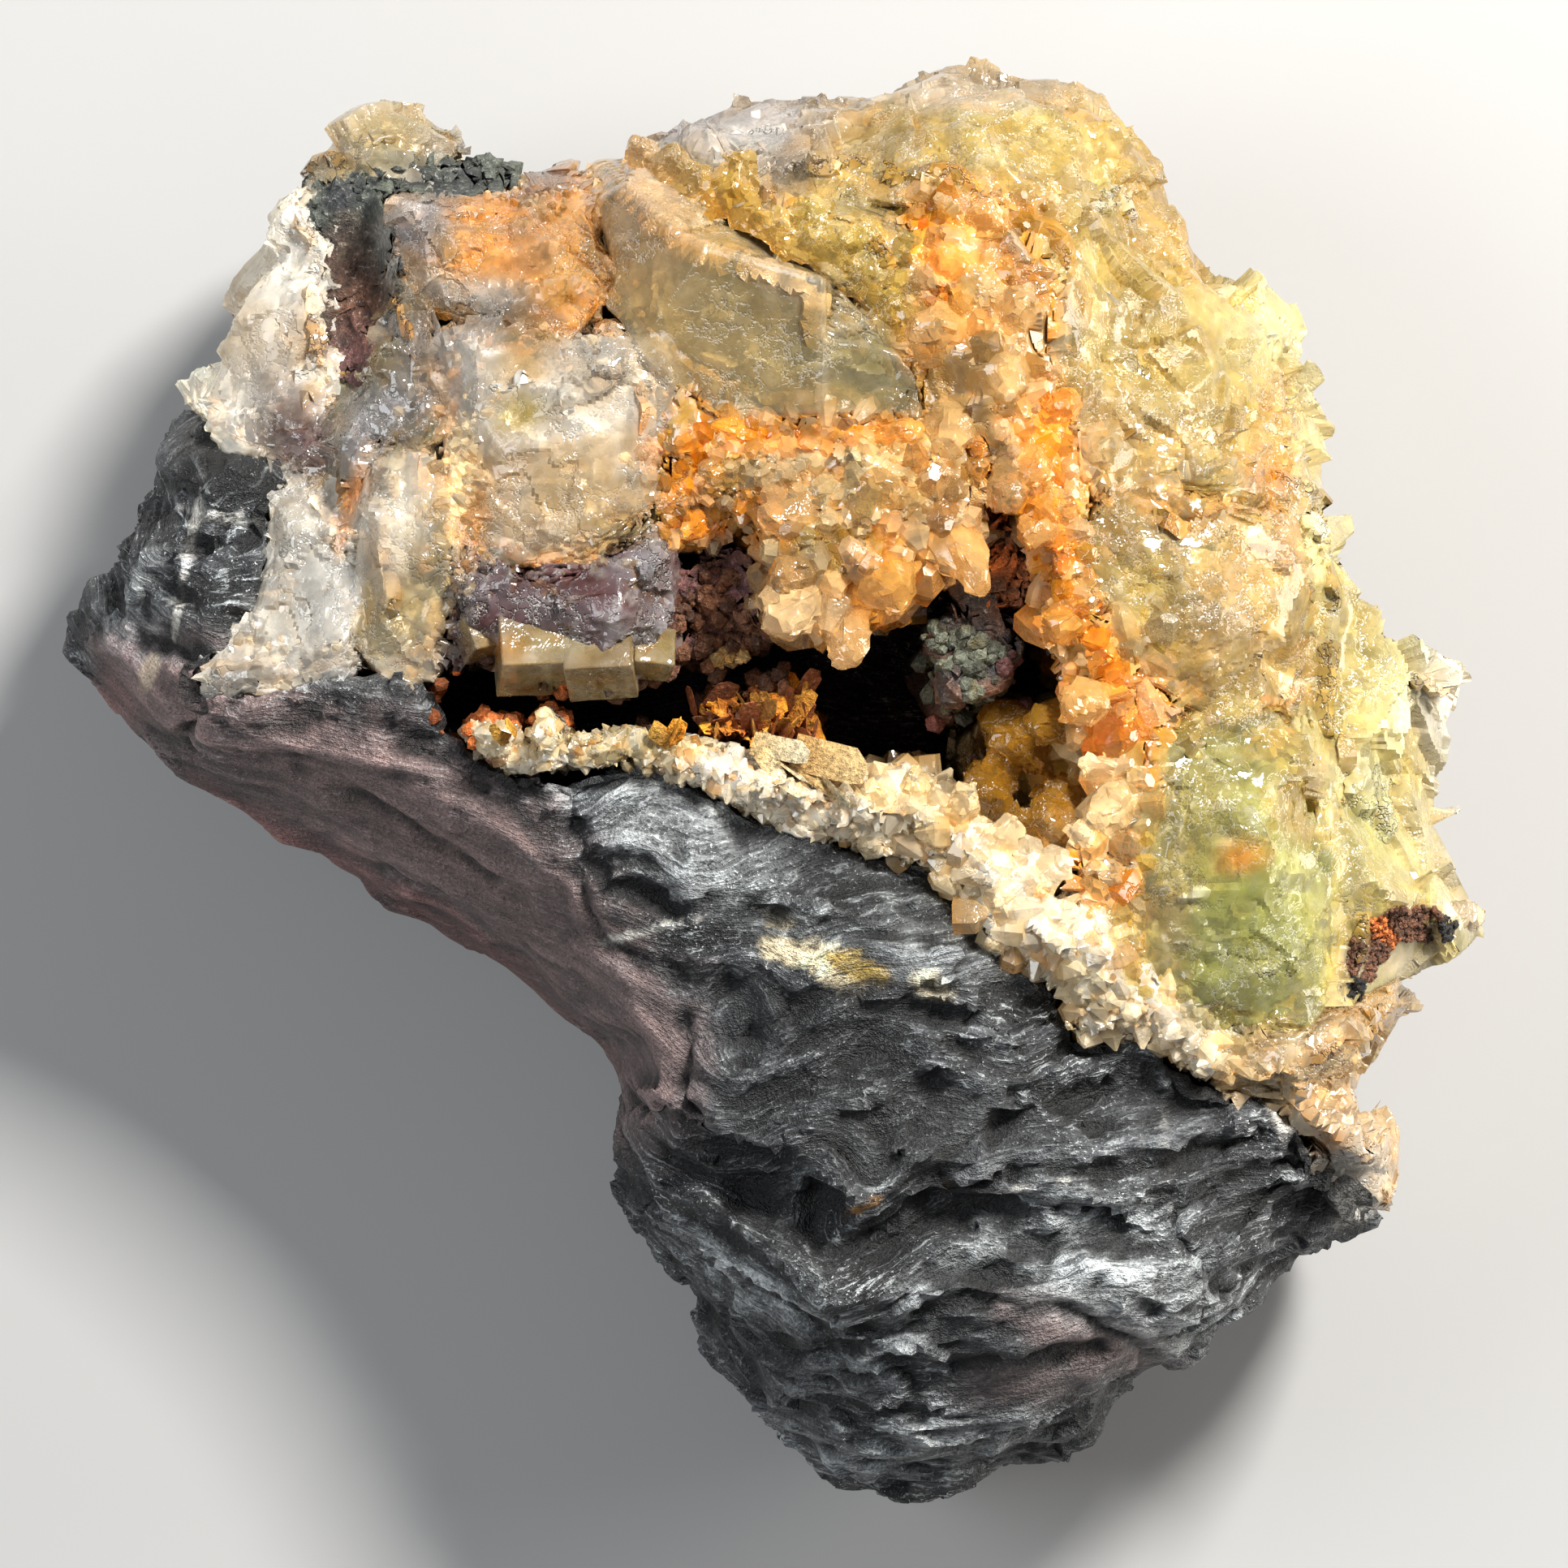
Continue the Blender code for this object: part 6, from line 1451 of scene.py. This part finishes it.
def make_grains(name, points, normals, fields, count, bare, most, materials):
    """Crusts of small grains, up to some mm, closer together where a field is crowded."""
    crowd = np.full(len(points), bare)
    tints = np.tile(shade("brown"), (len(points), 1))
    edge = ragged_edge(points, 81, 0.6)
    for tone, x, y, half_x, half_y, crowding in fields:
        here = patch(points, x, y, half_x, half_y, 0, edge) * crowding
        tints[here > crowd] = shade(tone)
        crowd = np.maximum(crowd, here)
    rng = np.random.default_rng(83)
    count = min(count, np.count_nonzero(crowd))
    picked = rng.choice(len(points), count, p=crowd / crowd.sum(), replace=False)
    girths = most * rng.uniform(0.27, 1.0, len(picked)) ** 1.3
    axes = normals[picked] + rng.normal(0, 0.5, (len(picked), 3))
    places = points[picked] + normals[picked] * (girths * 0.1)[:, None]
    own = tints[picked] * rng.uniform(0.5, 1.7, (len(picked), 1))
    lengths = girths * rng.uniform(0.7, 1.3, len(picked))
    piece = grow(name, rock_seed(), places, axes, girths, lengths, own, rng)
    settle(piece, materials["iron"], "iron_crust", angle=20)


def make_crust_grains(bodies, pieces, materials):
    """Grains of hematite, limonite and chlorite on the walls of the vug, and limonite on the wing."""
    points, normals = surface_points(pieces)
    low, high = WALL_HEIGHTS
    wall = (points[:, 2] > low) & (points[:, 2] < high) & (patch(points, *VUG) > 0.4) & (normals[:, 2] > -0.4)
    make_grains("vug_crusts", points[wall], normals[wall], CRUST_FIELDS, 1500, 0.02, 1.4, materials)
    wing = [piece for piece, _ in bodies if piece.name == "fluorite_wing_surface"]
    points, normals = surface_points(wing)
    up = normals[:, 2] > 0.2
    make_grains("wing_limonite", points[up], normals[up], WING_FIELDS, 1100, 0.0, 0.6, materials)


# Rust blades and the plate beside them: place, the way they point, width, length and colour.
BLADES = [
    ((-3.0, 3.2, 28.6), (-0.2, 0.7, 0.6), 1.8, 2.4, "rust"),
    ((-2.8, 3.2, 29.0), (0.1, 0.9, 0.6), 2.2, 3.2, "rust"),
    ((-1.6, 3.0, 29.2), (-0.1, 0.9, 0.6), 2.0, 3.4, "orange"),
    ((-0.4, 3.0, 29.4), (0.2, 0.9, 0.5), 2.4, 3.8, "rust"),
    ((0.6, 2.8, 29.2), (0.5, 0.8, 0.5), 2.0, 3.0, "orange"),
    ((-3.2, 2.6, 30.0), (-0.2, 0.5, 0.9), 1.8, 2.4, "rust"),
    ((-1.0, 2.4, 30.4), (0.3, 0.5, 0.9), 2.0, 2.8, "orange"),
    ((0.8, 2.0, 30.2), (0.6, 0.3, 0.8), 1.8, 2.6, "rust"),
    ((-4.0, 2.2, 30.0), (-0.5, 0.3, 0.8), 1.4, 1.6, "rust"),
    ((-2.2, 2.0, 31.0), (0.0, 0.2, 1), 1.8, 2.4, "orange"),
]
PLATES = [
    ((-1.6, 2.6, 35.2), (0.8, -0.5, 0.1), 2.2, 3.6, "cream"),
    ((0.4, 1.6, 35.6), (0.85, -0.5, 0.0), 2.4, 4.2, "tan"),
    ((1.8, 0.4, 35.8), (0.9, -0.4, 0.1), 2.0, 3.4, "cream"),
    ((-0.6, 1.2, 35.4), (0.8, -0.6, 0.1), 1.8, 3.0, "cream"),
    ((-6.4, 2.6, 35.6), (-0.4, 0.7, 0.6), 1.2, 1.6, "amber"),
    ((-7.2, 2.2, 35.6), (0.4, 0.7, 0.6), 1.2, 1.6, "orange"),
    ((-16.4, 3.0, 34.4), (-0.5, 0.5, 0.6), 1.2, 1.6, "amber"),
]


def make_blades(materials):
    """Leaves of rust in the vug and the thin plates on its lip, several round each row's place."""
    rng = np.random.default_rng(95)
    for name, rows, copies, spread, least, most, deep in (
            ("rust_leaves", BLADES, 9, 0.9, 0.25, 0.8, 0.5), ("lip_plates", PLATES, 3, 0.35, 0.5, 1.0, 0.9)):
        rows = [row for row in rows for _ in range(copies)]
        places = np.array([row[0] for row in rows]) + rng.normal(0, spread, (len(rows), 3))
        axes = np.array([row[1] for row in rows]) + rng.normal(0, 0.25, (len(rows), 3))
        girths = np.array([row[2] for row in rows]) * rng.uniform(least, most, len(rows))
        lengths = np.array([row[3] for row in rows]) * rng.uniform(least + 0.15, most, len(rows))
        tints = np.array([shade(row[4]) for row in rows]) * rng.uniform(0.6, 1.2, (len(rows), 1)) * deep
        piece = grow(name, blade_seed(), places, axes, girths, lengths, tints, rng)
        settle(piece, materials["iron"], "iron_crust", angle=20)


# ---------------------------------------------------------------- studio

FRAME_WIDTH = 96.6  # what the camera's view takes in at the height of the outline, in mm
OUTLINE_HEIGHT = 20.0
SENSOR_WIDTH = 36.0


def make_camera():
    """The camera, straight above the cluster."""
    camera = bpy.data.cameras.new("camera")
    camera.lens = sizes().lens
    camera.sensor_width = SENSOR_WIDTH
    away = FRAME_WIDTH * camera.lens / camera.sensor_width + OUTLINE_HEIGHT
    piece = bpy.data.objects.new("camera", camera)
    piece.location = (0, 0, away * MM)
    camera.clip_start = 0.01
    bpy.context.scene.collection.objects.link(piece)
    bpy.context.scene.camera = piece


def make_lamp(name, place, width, power, tone=(1, 1, 1)):
    """A square area light, placed in mm, that faces the middle of the cluster."""
    lamp = bpy.data.lights.new(name, "AREA")
    lamp.size = width * MM
    lamp.energy = power
    lamp.color = tone
    piece = bpy.data.objects.new(name, lamp)
    piece.location = [c * MM for c in place]
    aim = Vector((0, 0, OUTLINE_HEIGHT * MM)) - piece.location
    piece.rotation_euler = aim.to_track_quat("-Z", "Y").to_euler()
    bpy.context.scene.collection.objects.link(piece)


def make_stage():
    """A pale floor, three lamps, a soft world and the camera."""
    bpy.ops.object.select_all(action="DESELECT")
    bpy.ops.mesh.primitive_plane_add(size=4)
    floor = bpy.context.object
    floor.name = "floor"
    material, graph = new_material("pale floor")
    place = graph.add("ShaderNodeTexCoord").outputs["Object"]
    tone = graph.ramp(graph.noise(place, 8.0, 3.0), 0.3, 0.7, 0.42, 0.45)
    warm = graph.mix(1.0, (1, 0.99, 0.97, 1), tone, "MULTIPLY")
    shader = graph.add("ShaderNodeBsdfPrincipled", {"Base Color": warm, "Roughness": 0.9})
    graph.put(graph.add("ShaderNodeOutputMaterial").inputs["Surface"], shader.outputs[0])
    floor.data.materials.append(material)

    make_lamp("key", (240, 330, 420), 110, 6.4, (1, 0.98, 0.95))
    make_lamp("fill", (-420, 60, 420), 300, 1.6, (0.92, 0.96, 1))
    make_lamp("side glow", (410, 70, 110), 200, 1.2, (1, 0.96, 0.88))
    world = bpy.data.worlds.new("studio")
    bpy.context.scene.world = world
    world.use_nodes = True
    background = world.node_tree.nodes["Background"]
    background.inputs["Color"].default_value = (0.9, 0.93, 1, 1)
    background.inputs["Strength"].default_value = 0.22
    bpy.context.scene.view_settings.view_transform = "Standard"
    make_camera()


# ---------------------------------------------------------------- operators, panel and the run

MADE = {}  # what one operator leaves for the next


def materials():
    """The materials, made when they are first asked for."""
    if "materials" not in MADE:
        MADE["materials"] = make_materials()
    return MADE["materials"]


class MakeSchist(bpy.types.Operator):
    """Fold and streak the schist"""
    bl_idname = "cluster.make_schist"
    bl_label = "Schist"

    def execute(self, context):
        MADE["schist"] = make_schist(materials())
        return {"FINISHED"}


class MakeBodies(bpy.types.Operator):
    """Cleave and tint each large crystal and druse base"""
    bl_idname = "cluster.make_bodies"
    bl_label = "Crystal bodies"

    def execute(self, context):
        MADE["bodies"] = [make_body(body, i, materials()) for i, body in enumerate(BODIES)]
        for i, body in enumerate(BODIES):
            if body.look in CLEAR:
                make_heart(body, i, materials())
        return {"FINISHED"}


class MakeCrusts(bpy.types.Operator):
    """Roughen the chlorite, hematite and limonite"""
    bl_idname = "cluster.make_crusts"
    bl_label = "Crusts"

    def execute(self, context):
        crusts = [make_crust(crust, i, materials()) for i, crust in enumerate(CRUSTS)]
        pieces = [piece for piece, _ in MADE["bodies"]] + crusts
        heal_seams(pieces, MADE["schist"])
        make_crust_grains(MADE["bodies"], pieces + [MADE["schist"]], materials())
        make_blades(materials())
        return {"FINISHED"}


class MakeDruse(bpy.types.Operator):
    """Grow the small quartz crystals and the fluorite cubes"""
    bl_idname = "cluster.make_druse"
    bl_label = "Druse and cubes"

    def execute(self, context):
        make_druse(MADE["bodies"], materials())
        make_cubes(materials())
        return {"FINISHED"}


class MakeStage(bpy.types.Operator):
    """Add the floor, lights and camera"""
    bl_idname = "cluster.make_stage"
    bl_label = "Studio"

    def execute(self, context):
        make_stage()
        return {"FINISHED"}


class ClusterPanel(bpy.types.Panel):
    """Sizes, colours and steps of the cluster"""
    bl_idname = "VIEW3D_PT_cluster"
    bl_label = "Fluorite cluster"
    bl_space_type = "VIEW_3D"
    bl_region_type = "UI"
    bl_category = "Cluster"

    def draw(self, context):
        for group in (context.scene.cluster_sizes, context.scene.cluster_colours):
            for key in group.__annotations__:
                self.layout.prop(group, key)
        for step in STEPS:
            self.layout.operator(step.bl_idname)


STEPS = (MakeSchist, MakeBodies, MakeCrusts, MakeDruse, MakeStage)
CLASSES = (ClusterSizes, ClusterColours, *STEPS, ClusterPanel)


def register():
    for cls in CLASSES:
        bpy.utils.register_class(cls)
    bpy.types.Scene.cluster_sizes = PointerProperty(type=ClusterSizes)
    bpy.types.Scene.cluster_colours = PointerProperty(type=ClusterColours)


def unregister():
    del bpy.types.Scene.cluster_colours
    del bpy.types.Scene.cluster_sizes
    for cls in reversed(CLASSES):
        bpy.utils.unregister_class(cls)


def main():
    """Make everything in order."""
    register()
    for step in STEPS:
        group, _, name = step.bl_idname.partition(".")
        getattr(getattr(bpy.ops, group), name)()


if __name__ == "__main__":
    main()
